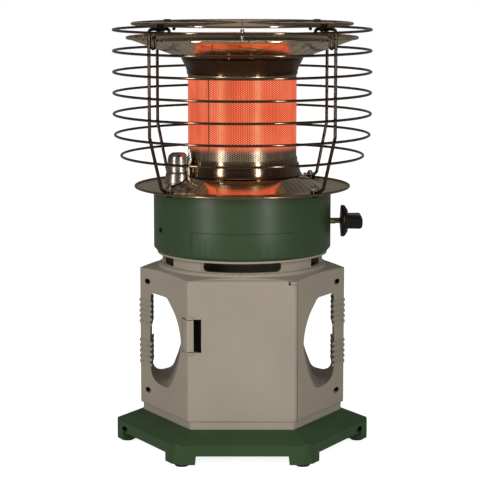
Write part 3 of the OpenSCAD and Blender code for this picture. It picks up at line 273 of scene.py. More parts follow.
def blank(holder):
    """The emptied tree of a material or a world."""
    holder.use_nodes = True
    holder.node_tree.nodes.clear()
    return Wiring(holder.node_tree)


class Finish(Wiring):
    """A material under construction round one principled shader."""

    def __init__(self, name, **constants):
        self.material = bpy.data.materials.new(name)
        self.material.use_nodes = True
        super().__init__(self.material.node_tree)
        self.skin = self.tree.nodes["Principled BSDF"].inputs
        for key, value in constants.items():
            self.skin[key.replace("_", " ").title().replace("Ior", "IOR")].default_value = value
        self.place = self.out("TexCoord", output=3)

    def noise(self, scale, detail=2.0, rough=0.5, place=None):
        sockets = {"Vector": place or self.place, "Scale": scale, "Detail": detail, "Roughness": rough}
        return self.out("TexNoise", sockets)

    def cloud(self, scale, low=0.0, high=1.0, a=0.3, b=0.7, detail=3.0, rough=0.5):
        """Noise whose values of a to b are carried onto low to high."""
        return self.span(self.noise(scale, detail, rough), a, b, low, high)

    def ramp(self, value, *tones):
        """Colours spread evenly along a value."""
        node = self.add("ValToRGB", {0: value})
        points = node.color_ramp.elements
        while len(points) < len(tones):
            points.new(0.5)
        for count, (point, tone) in enumerate(zip(points, tones)):
            point.position = count / (len(tones) - 1)
            point.color = (*tone, 1.0)
        return node.outputs[0]

    def turning(self):
        """Distance from the heater's axis, and that with the height as a vector for turned marks."""
        x, y, z = self.add("SeparateXYZ", {0: self.place}).outputs
        radius = self.out("VectorMath", {0: self.vector(x, y)}, output=1, operation="LENGTH")
        return radius, self.vector(radius, 0.0, z)

    def tangent(self):
        """The direction round the heater's axis."""
        return self.out("Tangent", direction_type="RADIAL", axis="Z")

    def soften(self, metres):
        """Rounded edge normal, and a mask that is 1 on the edges."""
        soft = self.out("Bevel", {"Radius": metres}, samples=6)
        plain = self.add("NewGeometry").outputs["Normal"]
        same = self.out("VectorMath", {0: soft, 1: plain}, output=1, operation="DOT_PRODUCT")
        return soft, self.span(same, 0.99, 0.80)

    def relief(self, height, distance, strength=1.0, normal=None):
        sockets = {"Height": height, "Distance": distance, "Strength": strength}
        if normal is not None:
            sockets["Normal"] = normal
        return self.out("Bump", sockets)

    def wire_up(self, **links):
        for key, value in links.items():
            self.tree.links.new(value, self.skin[key.replace("_", " ").title()])
        return self.material


def toned(rgb, *factors):
    """A colour made lighter or darker, as a whole or by channel, with its alpha."""
    factors = factors * 3 if len(factors) == 1 else factors
    return (*(min(1.0, v * factor) for v, factor in zip(rgb, factors)), 1.0)


def paint(rgb):
    """A colour, or the one in use under a name."""
    return getattr(colours(), rgb) if isinstance(rgb, str) else rgb


MADE = {}


def once(maker):
    """What a finish or tree function makes is made once and shared."""
    if maker not in MADE:
        MADE[maker] = maker()
    return MADE[maker]


# ---- Finishes ----


def moulded(name, rgb, rough, grain, relief):
    """Moulded plastic: fine grain, cloudy tone, rubbed edges and a few dark specks."""
    f, rgb = Finish(name, specular_ior_level=0.22), paint(rgb)
    soft, edge = f.soften(sizes().edge_soft)
    tone = f.mix(f.cloud(14.0), toned(rgb, 0.94), toned(rgb, 1.05))
    rubbed = f.times(edge, f.cloud(160.0, 0.0, 0.5, 0.42, 0.66, 4.0, 0.7))
    tone = f.mix(rubbed, tone, toned(rgb, 1.55))
    specks = f.cloud(620.0, 0.0, 0.25, 0.68, 0.80, 2.0, 0.6)
    return f.wire_up(
        base_color=f.mix(specks, tone, toned(rgb, 0.55)),
        roughness=f.cloud(46.0, rough - 0.05, rough + 0.07),
        normal=f.relief(f.noise(1.0 / (grain * MM), 2.0, 0.55), relief * MM, 0.8, soft),
    )


tan_plastic = partial(moulded, "tan_plastic", "tan", 0.50, 0.9, 0.05)
green_plastic = partial(moulded, "green_plastic", "green", 0.38, 1.1, 0.04)


def knob_plastic():
    f = Finish("knob_plastic", specular_ior_level=0.25)
    soft, edge = f.soften(1.4 * MM)
    rgb = colours().black
    rubbed = f.times(edge, f.cloud(240.0, 0.0, 0.6, 0.4))
    return f.wire_up(
        base_color=f.mix(rubbed, toned(rgb, 1.0), toned(rgb, 2.2)),
        roughness=f.cloud(120.0, 0.2, 0.28),
        normal=f.relief(f.noise(1500.0), 0.03 * MM, 0.6, soft),
    )


def rubber():
    f = Finish("foot_rubber")
    soft, edge = f.soften(0.8 * MM)
    rgb = colours().rubber
    return f.wire_up(
        base_color=f.mix(f.cloud(90.0, a=0.35, detail=4.0), toned(rgb, 0.8), toned(rgb, 1.6)),
        roughness=f.span(edge, 0.0, 1.0, 0.72, 0.58),
        normal=f.relief(f.noise(1300.0), 0.06 * MM, 0.8, soft),
    )


def green_enamel():
    """Baked paint on sheet steel: orange peel, clear gloss and a few specks."""
    rgb = colours().enamel
    f = Finish("green_enamel", specular_ior_level=0.6)
    soft, edge = f.soften(sizes().sheet_soft)
    tone = f.mix(f.cloud(9.0), toned(rgb, 0.93), toned(rgb, 1.06))
    tone = f.mix(f.times(edge, f.cloud(300.0, 0.0, 0.6, 0.5, 0.68)), tone, toned(rgb, 1.8))
    return f.wire_up(
        base_color=f.mix(f.cloud(700.0, 0.0, 0.4, 0.72, 0.78, 1.0), tone, toned(rgb, 0.45)),
        roughness=f.cloud(60.0, 0.33, 0.39),
        normal=f.relief(f.noise(420.0, 2.0, 0.4), 0.035 * MM, 0.9, soft),
    )


def turned_steel(name, cool, heated, rough, spread=0.8):
    """Spun steel: fine turning marks, heat colours near the burner, water stains and wipes."""
    f = Finish(name, metallic=1.0, anisotropic=spread, anisotropic_rotation=0.25)
    cool = paint(cool)
    warm = toned(cool, *heated)
    radius, marks = f.turning()
    lines = f.noise(2600.0, 2.0, 0.6, marks)
    broad = f.noise(420.0, 3.0, 0.5, marks)
    stain = f.noise(36.0, 4.0, 0.6)
    heat = f.plus(f.span(radius, 0.12, 0.07), f.span(stain, 0.3, 0.7, -0.25, 0.25))
    tone = f.mix(heat, toned(cool, 1.0), warm)
    tone = f.mix(f.span(stain, 0.52, 0.74, 0.0, 0.45), tone, toned(warm, 0.68))
    tone = f.mix(f.span(broad, 0.35, 0.65, 0.0, 0.22), tone, toned(cool, 1.2))
    brushed = f.span(lines, 0.3, 0.7, rough - 0.03, rough + 0.04)
    f.wire_up(tangent=f.tangent())
    return f, tone, f.plus(brushed, f.span(stain, 0.45, 0.75, 0.0, 0.08)), radius


def dish_steel():
    """Mirror on the cone, duller and tan on the flat flange, and darkened brown on the rolled edge as
    painted shade.
    """
    rgb = colours().dish
    f, tone, dull, radius = turned_steel("lower_reflector_steel", rgb, (1.05, 0.92, 0.78), 0.06, 0.35)
    flange = f.span(radius, 0.099, 0.1015)
    roll = f.span(radius, 0.1285, 0.1295)
    # The rolled edge is darkened to brown: painted shade on the rim.
    flat = f.mix(roll, toned(rgb, 1.05, 0.903, 0.651), toned(rgb, 0.4, 0.304, 0.224))
    return f.wire_up(base_color=f.mix(flange, tone, flat), roughness=f.plus(dull, f.times(flange, 0.2)))


def plain_turned(*look):
    """Spun steel that is alike all over."""
    f, tone, dull, _ = turned_steel(*look)
    return f.wire_up(base_color=tone, roughness=dull)


collar_steel = partial(plain_turned, "collar_steel", "collar", (0.9, 0.74, 0.6), 0.18)
flare_steel = partial(plain_turned, "flare_steel", "flare", (0.85, 0.7, 0.6), 0.15, 0.85)


def upper_steel():
    """Tan steel with thin dark curling lines towards its rim, and its upward faces inside the rim
    darkened as painted shade.
    """
    rgb = colours().upper
    f, tone, dull, radius = turned_steel("upper_reflector_steel", rgb, (0.5, 0.4, 0.32), 0.10, 0.6)
    off = f.math("ABSOLUTE", f.math("SUBTRACT", f.noise(30.0, 1.0, 0.4), 0.5))
    line = f.times(f.span(off, 0.006, 0.016, 1.0, 0.0), f.cloud(34.0, a=0.46, b=0.54, detail=1.0))
    line = f.times(line, f.span(radius, 0.098, 0.104))
    tone = f.mix(f.times(line, 0.8), tone, (0.05, 0.03, 0.02, 1.0))
    # Upward faces inside the rim go nearly black: painted shade, because these faces would otherwise
    # mirror a lit ceiling.
    up = f.out("SeparateXYZ", {0: f.add("NewGeometry").outputs["Normal"]}, output=2)
    painted_shade_top = f.times(f.span(up, 0.2, 0.6, 0.0, 0.8), f.span(radius, 0.127, 0.128, 1.0, 0.0))
    return f.wire_up(base_color=f.mix(painted_shade_top, tone, (0.035, 0.03, 0.02, 1.0)), roughness=dull)


def drawn_wire(name, level, rough):
    """Drawn and plated wire, its colour scaled by a level, with bronze heat tints. The uprights and
    hooks get it darker as painted shade, and the grille gets it lighter as painted highlight.
    """
    f, rgb = Finish(name, metallic=1.0), toned(colours().wire, level)
    tone = f.mix(f.cloud(22.0, a=0.35, b=0.65), toned(rgb, 0.85), toned(rgb, 1.05, 0.9, 0.76))
    spots = f.cloud(900.0, 0.0, 0.6, 0.62, 0.75, 3.0, 0.7)
    return f.wire_up(
        base_color=f.mix(spots, tone, toned(rgb, 0.3)),
        roughness=f.cloud(300.0, rough, rough + 0.1),
        normal=f.relief(f.noise(1500.0), 0.012 * MM, 0.7),
    )


guard_wire = partial(drawn_wire, "guard_wire", 1.0, 0.07)
# The same wire at half its colour: painted shade that dims the lamp streaks on the uprights and hooks.
upright_wire = partial(drawn_wire, "upright_wire", 0.5, 0.1)
# The same wire at 2.4 times its colour: painted highlight on the grille's rings.
grille_wire = partial(drawn_wire, "grille_wire", 2.4, 0.05)


def plated(name, rgb, rough, soft_mm=0.4, spots=0.4):
    """Small plated steel parts: cloudy passivation, dull spots and bright edges."""
    f, rgb = Finish(name, metallic=1.0), paint(rgb)
    soft, edge = f.soften(soft_mm * MM)
    cloud = f.noise(70.0, 4.0, 0.6)
    tone = f.mix(f.span(cloud, 0.3, 0.7), toned(rgb, 0.8), toned(rgb, 1.1))
    tone = f.mix(f.cloud(420.0, 0.0, spots, 0.6, 0.75, 3.0, 0.7), tone, toned(rgb, 0.4))
    return f.wire_up(
        base_color=f.mix(f.times(edge, 0.5), tone, toned(rgb, 1.4)),
        roughness=f.span(cloud, 0.3, 0.7, rough, rough + 0.12),
        normal=f.relief(f.noise(1600.0), 0.02 * MM, 0.7, soft),
    )


bright_steel = partial(plated, "bright_steel", (0.62, 0.6, 0.56), 0.18, 0.3, 0.15)
dull_steel = partial(plated, "dull_steel", (0.34, 0.31, 0.27), 0.28, 0.3, 0.25)
hood_steel = partial(plated, "hood_steel", (0.42, 0.36, 0.31), 0.22, 0.5, 0.35)
dark_burner = partial(plated, "scaled_steel", (0.11, 0.085, 0.07), 0.42)
zinc_plate = partial(plated, "zinc_plate", "zinc", 0.34)
brass = partial(plated, "turned_brass", "brass", 0.24, 0.3, 0.3)
black_screw = partial(plated, "black_screw", "screw", 0.34, 0.3, 0.2)


def switch_plastic():
    f = Finish("switch_plastic")
    soft, edge = f.soften(0.6 * MM)
    return f.wire_up(
        base_color=f.mix(edge, (0.02, 0.02, 0.021, 1.0), (0.05, 0.05, 0.05, 1.0)),
        roughness=f.cloud(200.0, 0.4, 0.55, detail=2.0),
        normal=f.relief(f.noise(900.0), 0.05 * MM, 0.7, soft),
    )


def glowing(name, cold, rough, level, lights=False):
    """Steel of its own colour at its foot and head, and with a streaked orange glow between."""
    f = Finish(name, metallic=1.0, anisotropic=0.8, anisotropic_rotation=0.25, emission_strength=1.0)
    foot, head = sizes().foot_band, sizes().head_band
    x, y, z = f.add("SeparateXYZ", {0: f.place}).outputs
    low = f.span(z, foot - 2.5 * MM, foot + 8 * MM, 0.0, 1.0, "SMOOTHSTEP")
    zone = f.times(low, f.span(z, head + 1.2 * MM, head - 0.6 * MM))
    streaks = f.noise(90.0, 3.0, 0.6, f.vector(x, y, f.times(z, 0.06)))
    heat = f.plus(f.span(streaks, 0.3, 0.7, -0.22, 0.22), f.cloud(26.0, 0.3, 0.7))
    tone = f.ramp(heat, (0.70, 0.09, 0.032), (0.93, 0.155, 0.07), (1.0, 0.235, 0.13))
    cold = paint(cold)
    skin = f.mix(f.cloud(60.0, detail=4.0), toned(cold, 0.8), toned(cold, 1.15))
    if not lights:
        f.material.cycles.emission_sampling = "NONE"
    return f.wire_up(
        base_color=f.mix(zone, skin, (0.07, 0.06, 0.03, 1.0)),
        roughness=f.cloud(500.0, rough, rough + 0.1, detail=2.0),
        emission_color=f.out("VectorMath", {0: tone, 3: f.times(zone, level)}, operation="SCALE"),
        tangent=f.tangent(),
    )


screen_mesh = partial(glowing, "screen_mesh", "screen", 0.32, 0.42)
screen_lining = partial(glowing, "screen_lining", (0.10, 0.075, 0.05), 0.5, 1.35)
screen_lap = partial(glowing, "screen_lap", (0.3, 0.26, 0.17), 0.4, 0.25)
core_glow = partial(glowing, "core_glow", (0.10, 0.075, 0.05), 0.5, 1.1, lights=True)


# ---- Meshes ----


def placed(name, bm, maker, sharp=32.0):
    """A named object made of a finished edit mesh, smooth but for its sharp edges."""
    mesh = bpy.data.meshes.new(name)
    bm.to_mesh(mesh)
    bm.free()
    mesh.materials.append(once(maker))
    mesh.shade_smooth()
    mesh.set_sharp_from_angle(angle=math.radians(sharp))
    piece = bpy.data.objects.new(name, mesh)
    bpy.context.scene.collection.objects.link(piece)
    return piece


def add_to(piece, node):
    """The piece rides on a node's body, beside what stands for the node."""
    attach(piece, frame["nodes"][node]["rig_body"])


def seat(piece, node):
    """The piece rides on a node's body and stands for the node."""
    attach(piece, frame["nodes"][node]["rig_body"])
    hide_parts(node)


def rounded(points, radius, steps=5, closed=True):
    """A line of (x, y) points with every corner rounded as far as its neighbours allow."""
    done = []
    count = len(points)
    for i, here in enumerate(points):
        if not closed and i in (0, count - 1):
            done.append(tuple(here))
            continue
        corner = Vector(here)
        back, on = Vector(points[i - 1]) - corner, Vector(points[(i + 1) % count]) - corner
        turn = math.pi - back.angle(on, 0.0)
        if turn < math.radians(4):
            done.append(tuple(corner))
            continue
        reach = min(radius * math.tan(turn / 2), 0.45 * back.length, 0.45 * on.length)
        start, end = corner + back.normalized() * reach, corner + on.normalized() * reach
        for k in range(steps + 1):
            t = k / steps
            done.append(tuple(start * (1 - t) ** 2 + corner * 2 * t * (1 - t) + end * t * t))
    return done


def walled(line, thickness):
    """A closed outline round a sheet whose outer side follows a line of (radius, height) points."""
    line = [Vector(p) for p in line]
    inner = []
    for i, p in enumerate(line):
        along = (line[min(i + 1, len(line) - 1)] - line[max(i - 1, 0)]).normalized()
        inner.append(p + Vector((-along.y, along.x)) * thickness)
    return [tuple(p) for p in line + inner[::-1]]


def circle(radius, height, size, steps=16):
    """Outline of a round bead."""
    turns = [math.tau * k / steps for k in range(steps)]
    return [(radius + size * math.cos(turn), height + size * math.sin(turn)) for turn in turns]


def about(angle, radial, sideways=0.0, height=0.0):
    """A point given by its distance from the axis, its sideways offset and its height."""
    c, s = math.cos(math.radians(angle)), math.sin(math.radians(angle))
    return radial * c - sideways * s, radial * s + sideways * c, height


def prism(name, outline, low, high, maker):
    """A flat outline of (x, y) points raised between two heights."""
    bm = bmesh.new()
    rows = [[bm.verts.new((x * MM, y * MM, z * MM)) for x, y in outline] for z in (low, high)]
    foot, head = rows
    for i in range(len(outline)):
        k = (i + 1) % len(outline)
        bm.faces.new((foot[i], foot[k], head[k], head[i]))
    for row in rows:
        bm.faces.new(row)
    bmesh.ops.recalc_face_normals(bm, faces=bm.faces)
    return placed(name, bm, maker)


def turned(name, outlines, maker, sharp=32.0, steps=224):
    """Closed outlines of (radius, height) points turned about the heater's axis."""
    bm = bmesh.new()
    for outline in outlines:
        rows = []
        for k in range(steps):
            c, s = math.cos(math.tau * k / steps), math.sin(math.tau * k / steps)
            ring = [(max(r, 0.0) * MM, z * MM) for r, z in outline]
            rows.append([bm.verts.new((r * c, r * s, z)) for r, z in ring])
        for k in range(steps):
            this, after = rows[k], rows[(k + 1) % steps]
            for j in range(len(outline)):
                m = (j + 1) % len(outline)
                if outline[j][0] > 0 or outline[m][0] > 0:
                    bm.faces.new((this[j], this[m], after[m], after[j]))
    bmesh.ops.remove_doubles(bm, verts=bm.verts, dist=1e-7)
    bmesh.ops.recalc_face_normals(bm, faces=bm.faces)
    return placed(name, bm, maker, sharp)


def settle(piece):
    """Applies what is on a piece to its own mesh."""
    bpy.context.view_layer.update()
    done = bpy.data.meshes.new_from_object(piece.evaluated_get(bpy.context.evaluated_depsgraph_get()))
    done.name = piece.name
    piece.modifiers.clear()
    piece.data = done


def dressed(node, name, maker, sharp=30.0, reshape=None, cuts=()):
    """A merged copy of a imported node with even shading, standing for that node."""
    bm = bmesh.new()
    bm.from_mesh(frame["nodes"][node].data)
    bmesh.ops.remove_doubles(bm, verts=bm.verts, dist=2e-6)
    for x in cuts:
        parts = bm.verts[:] + bm.edges[:] + bm.faces[:]
        bmesh.ops.bisect_plane(bm, geom=parts, plane_co=(x * MM, 0, 0), plane_no=(1, 0, 0))
    if reshape:
        for vert in bm.verts:
            vert.co = reshape(vert.co / MM) * MM
    piece = placed(name, bm, maker, sharp)
    even = piece.modifiers.new("even", "WEIGHTED_NORMAL")
    even.keep_sharp = True
    even.weight = 100
    settle(piece)
    seat(piece, node)


class Grow(Wiring):
    """A geometry tree under construction, with named inputs for lengths or numbers and for counts."""

    family = "GeometryNode"

    def __init__(self, name, floats, counts=()):
        super().__init__(bpy.data.node_groups.new(name, "GeometryNodeTree"))
        face = self.tree.interface
        kinds = [("Geometry", "Geometry"), ("Material", "Material")]
        kinds += [(label, "Float") for label in floats] + [(label, "Int") for label in counts]
        for label, kind in kinds:
            face.new_socket(label, in_out="INPUT", socket_type="NodeSocket" + kind)
        face.new_socket("Geometry", in_out="OUTPUT", socket_type="NodeSocketGeometry")
        self.inputs = self.add("NodeGroupInput").outputs

    def __getitem__(self, label):
        return self.inputs[label]

    def ring(self, resolution, radius):
        return self.out("CurvePrimitiveCircle", {"Resolution": resolution, "Radius": radius})

    def moved(self, shape, **change):
        return self.out("Transform", {"Geometry": shape, **change})

    def turn(self, x=0.0, y=0.0, z=0.0):
        return self.out("FunctionNodeEulerToRotation", {0: self.vector(x, y, z)})

    def polar(self, angle, radius, height=0.0):
        """A place given by its angle about the axis, its distance from it and its height."""
        x, y = (self.times(self.math(side, angle), radius) for side in ("COSINE", "SINE"))
        return self.vector(x, y, height)

    def joined(self, *shapes):
        join = self.add("JoinGeometry")
        for shape in shapes:
            self.tree.links.new(shape, join.inputs[0])
        return join.outputs[0]

    def copies(self, points, shape, **change):
        return self.out("InstanceOnPoints", {"Points": points, "Instance": shape, **change})

    def at_places(self, shape):
        """A copy at each point of the source mesh, turned as the source says."""
        turn = self.out("InputNamedAttribute", {"Name": "turn"}, data_type="FLOAT_VECTOR")
        turn = self.out("FunctionNodeEulerToRotation", {0: turn})
        return self.copies(self.out("MeshToPoints", {"Mesh": self["Geometry"]}), shape, Rotation=turn)

    def wired(self, curve, resolution):
        """Round wire of the tree's diameter along a curve."""
        profile = self.ring(resolution, self.times(self["Wire"], 0.5))
        return self.out("CurveToMesh", {"Curve": curve, "Profile Curve": profile, "Fill Caps": True})

    def close(self, shape):
        """Ends the tree: real geometry with its material."""
        real = self.out("RealizeInstances", {0: shape})
        smooth = self.out("SetShadeSmooth", {0: real})
        painted = self.out("SetMaterial", {0: smooth, "Material": self["Material"]})
        self.add("NodeGroupOutput", {0: painted})
        return self.tree


def grown(name, tree, maker, source=None, sharp=32.0, **values):
    """Runs a tree on a source mesh and keeps the result as a plain mesh."""
    piece = bpy.data.objects.new(name, source or bpy.data.meshes.new(name))
    bpy.context.scene.collection.objects.link(piece)
    modifier = piece.modifiers.new("grow", "NODES")
    modifier.node_group = once(tree)
    values["material"] = once(maker)
    for item in modifier.node_group.interface.items_tree:
        key = item.name.lower().replace(" ", "_")
        if item.in_out == "INPUT" and key in values:
            modifier[item.identifier] = values[key]
    settle(piece)
    piece.data.materials.clear()
    piece.data.materials.append(values["material"])
    piece.data.set_sharp_from_angle(angle=math.radians(sharp))
    return piece


def places_mesh(angles, radius, height, tilt=0.0, twist=0.0):
    """One vertex at each angle about the axis, with its turn stored for the tree."""
    mesh = bpy.data.meshes.new("places")
    mesh.from_pydata([Vector(about(a, radius, 0.0, height)) * MM for a in angles], [], [])
    turns = mesh.attributes.new("turn", "FLOAT_VECTOR", "POINT")
    turns.data.foreach_set("vector", [v for a in angles for v in (0.0, tilt, math.radians(a + twist))])
    return mesh


def bent(name, points, wire, bend, maker, copies=1, step=0.0):
    """Round wire along a path in millimetres."""
    path = bpy.data.meshes.new("path")
    ends = [(i, i + 1) for i in range(len(points) - 1)]
    path.from_pydata([Vector(p) * MM for p in points], ends, [])
    size = {"wire": wire * MM, "bend": bend * MM, "copies": copies, "step": math.radians(step)}
    return grown(name, wire_tree, maker, path, **size)


# ---- Trees ----


def ring_tree():
    """A ring of round wire about the axis."""
    g = Grow("guard_ring", ["Radius", "Height", "Wire"])
    loop = g.moved(g.ring(180, g["Radius"]), Translation=g.vector(z=g["Height"]))
    return g.close(g.wired(loop, 14))


def wire_tree():
    """Round wire along a path whose corners are bent, repeated about the axis."""
    g = Grow("bent_wire", ["Wire", "Bend", "Step"], ["Copies"])
    curve = g.out("MeshToCurve", {"Mesh": g["Geometry"]})
    corners = {"Curve": curve, "Radius": g["Bend"], "Limit Radius": True, "Count": 6}
    curve = g.out("FilletCurve", corners, mode="POLY")
    curve = g.out("SetCurveNormal", {"Curve": curve}, mode="MINIMUM_TWIST")
    spots = g.out("Points", {"Count": g["Copies"]})
    turn = g.turn(z=g.times(g.out("InputIndex"), g["Step"]))
    return g.close(g.copies(spots, g.wired(curve, 14), Rotation=turn))


def grille_tree():
    """Concentric rings and spokes in one flat grille."""
    g = Grow("top_grille", ["Hub", "Rim", "Wire", "Height"], ["Rings", "Spokes"])
    index = g.out("InputIndex")
    gaps = g.math("SUBTRACT", g["Rings"], 1.0)
    step = g.math("DIVIDE", g.math("SUBTRACT", g["Rim"], g["Hub"]), gaps)
    radius = g.plus(g["Hub"], g.times(index, step))
    rings = g.copies(g.out("Points", {"Count": g["Rings"]}), g.ring(120, 1.0), Scale=radius)
    line = g.out("CurvePrimitiveLine", {"Start": g.vector(x=g["Hub"]), "End": g.vector(x=g["Rim"])})
    turn = g.turn(z=g.times(index, g.math("DIVIDE", math.tau, g["Spokes"])))
    spokes = g.copies(g.out("Points", {"Count": g["Spokes"]}), line, Rotation=turn)
    real = g.out("RealizeInstances", {0: g.joined(rings, spokes)})
    real = g.out("SetCurveRadius", {"Curve": real, "Radius": 1.0})
    return g.close(g.moved(g.wired(real, 12), Translation=g.vector(z=g["Height"])))


def perforated_tree():
    """A cylinder of six-sided cells, each with a hole, on staggered columns."""
    g = Grow("perforated_screen", ["Radius", "Foot", "Cell", "Open"], ["Columns", "Rows"])
    columns, rows, cell = g["Columns"], g["Rows"], g["Cell"]
    index = g.out("InputIndex")
    column = g.math("FLOOR", g.math("DIVIDE", g.plus(index, 0.5), rows))
    row = g.math("SUBTRACT", index, g.times(column, rows))
    angle = g.times(column, g.math("DIVIDE", math.tau, columns))
    shift = g.times(g.math("MODULO", column, 2.0), 0.5)
    rise = g.times(g.times(cell, math.sqrt(3)), g.plus(row, shift))
    spot = g.polar(angle, g["Radius"], g.plus(rise, g["Foot"]))
    points = g.out("Points", {"Count": g.times(columns, rows), "Position": spot})
    disc = g.out("MeshCircle", {"Vertices": 6, "Radius": cell}, fill_type="NGON")
    sockets = {"Mesh": disc, "Offset Scale": 0.0, "Individual": True}
    inset = g.add("ExtrudeMesh", sockets, mode="FACES").outputs
    hole = {"Geometry": inset["Mesh"], "Selection": inset["Top"], "Scale": g["Open"]}
    open_cell = {"Geometry": g.out("ScaleElements", hole), "Selection": inset["Top"]}
    plate = g.out("DeleteGeometry", open_cell, domain="FACE")
    turn = g.turn(math.pi / 2, 0.0, g.plus(angle, math.pi / 2))
    real = g.out("RealizeInstances", {0: g.copies(points, plate, Rotation=turn)})
    return g.close(g.out("MergeByDistance", {"Geometry": real, "Distance": 0.06 * MM}))


def screw_tree():
    """Pan head screws with a cross recess, one at each stored place."""
    g = Grow("cross_screws", ["Head", "Rise"])
    head, rise = g["Head"], g["Rise"]
    half = g.times(head, 0.5)
    ball = g.out("MeshUVSphere", {"Segments": 28, "Rings": 14, "Radius": half})
    dome = g.moved(ball, Scale=g.vector(1.0, 1.0, g.math("DIVIDE", rise, half)))
    arm, slim, deep = g.times(head, 0.56), g.times(head, 0.15), g.times(rise, 1.1)
    bars = []
    for size in (g.vector(arm, slim, deep), g.vector(slim, arm, deep)):
        lift = g.vector(z=g.times(rise, 1.05))
        bars.append(g.moved(g.out("MeshCube", {"Size": size}), Translation=lift))
    cut = g.out("MeshBoolean", {0: dome, 1: g.joined(*bars)}, operation="DIFFERENCE")
    return g.close(g.at_places(cut))


def dome_nut_tree():
    """Domed nuts on washers, one at each stored place."""
    g = Grow("dome_nuts", ["Flats", "Hex rise", "Dome rise", "Washer"])
    flats, rise, thick = g["Flats"], g["Hex rise"], 0.8 * MM
    half = g.times(g["Washer"], 0.5)
    plate = g.out("MeshCylinder", {"Vertices": 28, "Radius": half, "Depth": thick})
    plate = g.moved(plate, Translation=(0.0, 0.0, thick / 2))
    corner = g.math("DIVIDE", flats, math.sqrt(3))
    block = g.out("MeshCylinder", {"Vertices": 6, "Radius": corner, "Depth": rise})
    block = g.moved(block, Translation=g.vector(z=g.plus(g.times(rise, 0.5), thick)))
    reach = g.times(flats, 0.47)
    ball = g.out("MeshUVSphere", {"Segments": 24, "Rings": 14, "Radius": reach})
    tall = g.vector(1.0, 1.0, g.math("DIVIDE", g["Dome rise"], reach))
    ball = g.moved(ball, Scale=tall, Translation=g.vector(z=g.plus(rise, 0.6 * MM)))
    return g.close(g.at_places(g.joined(plate, block, ball)))


def foot_tree():
    """Rubber feet on a circle, each a tapered pad with a rounded heel and a stud."""
    g = Grow("rubber_feet", ["Circle", "Width", "Tall"], ["Feet"])
    half, tall, heel = g.times(g["Width"], 0.5), g["Tall"], 1.2 * MM
    pads = []
    for low, high, depth, lift in ((heel, 0.0, heel, 0.0), (0.0, 0.4 * MM, None, heel)):
        sockets = {
            "Vertices": 40,
            "Radius Bottom": g.math("SUBTRACT", half, low),
            "Radius Top": g.math("SUBTRACT", half, high),
            "Depth": depth or g.math("SUBTRACT", tall, heel),
        }
        pads.append(g.moved(g.out("MeshCone", sockets), Translation=(0.0, 0.0, lift)))
    stud = g.out("MeshCylinder", {"Vertices": 24, "Radius": 3.0 * MM, "Depth": 6.0 * MM})
    stud = g.moved(stud, Translation=g.vector(z=g.plus(tall, 3.0 * MM)))
    angle = g.times(g.out("InputIndex"), g.math("DIVIDE", math.tau, g["Feet"]))
    points = g.out("Points", {"Count": g["Feet"], "Position": g.polar(angle, g["Circle"])})
    return g.close(g.copies(points, g.joined(*pads, stud)))


# ---- Operators ----

WHITE = (1.0, 1.0, 1.0, 1.0)
BLACK = (0.0, 0.0, 0.0, 1.0)


class HeaterOperator(bpy.types.Operator):
    """Base of the operators."""

    bl_options = {"REGISTER", "UNDO"}


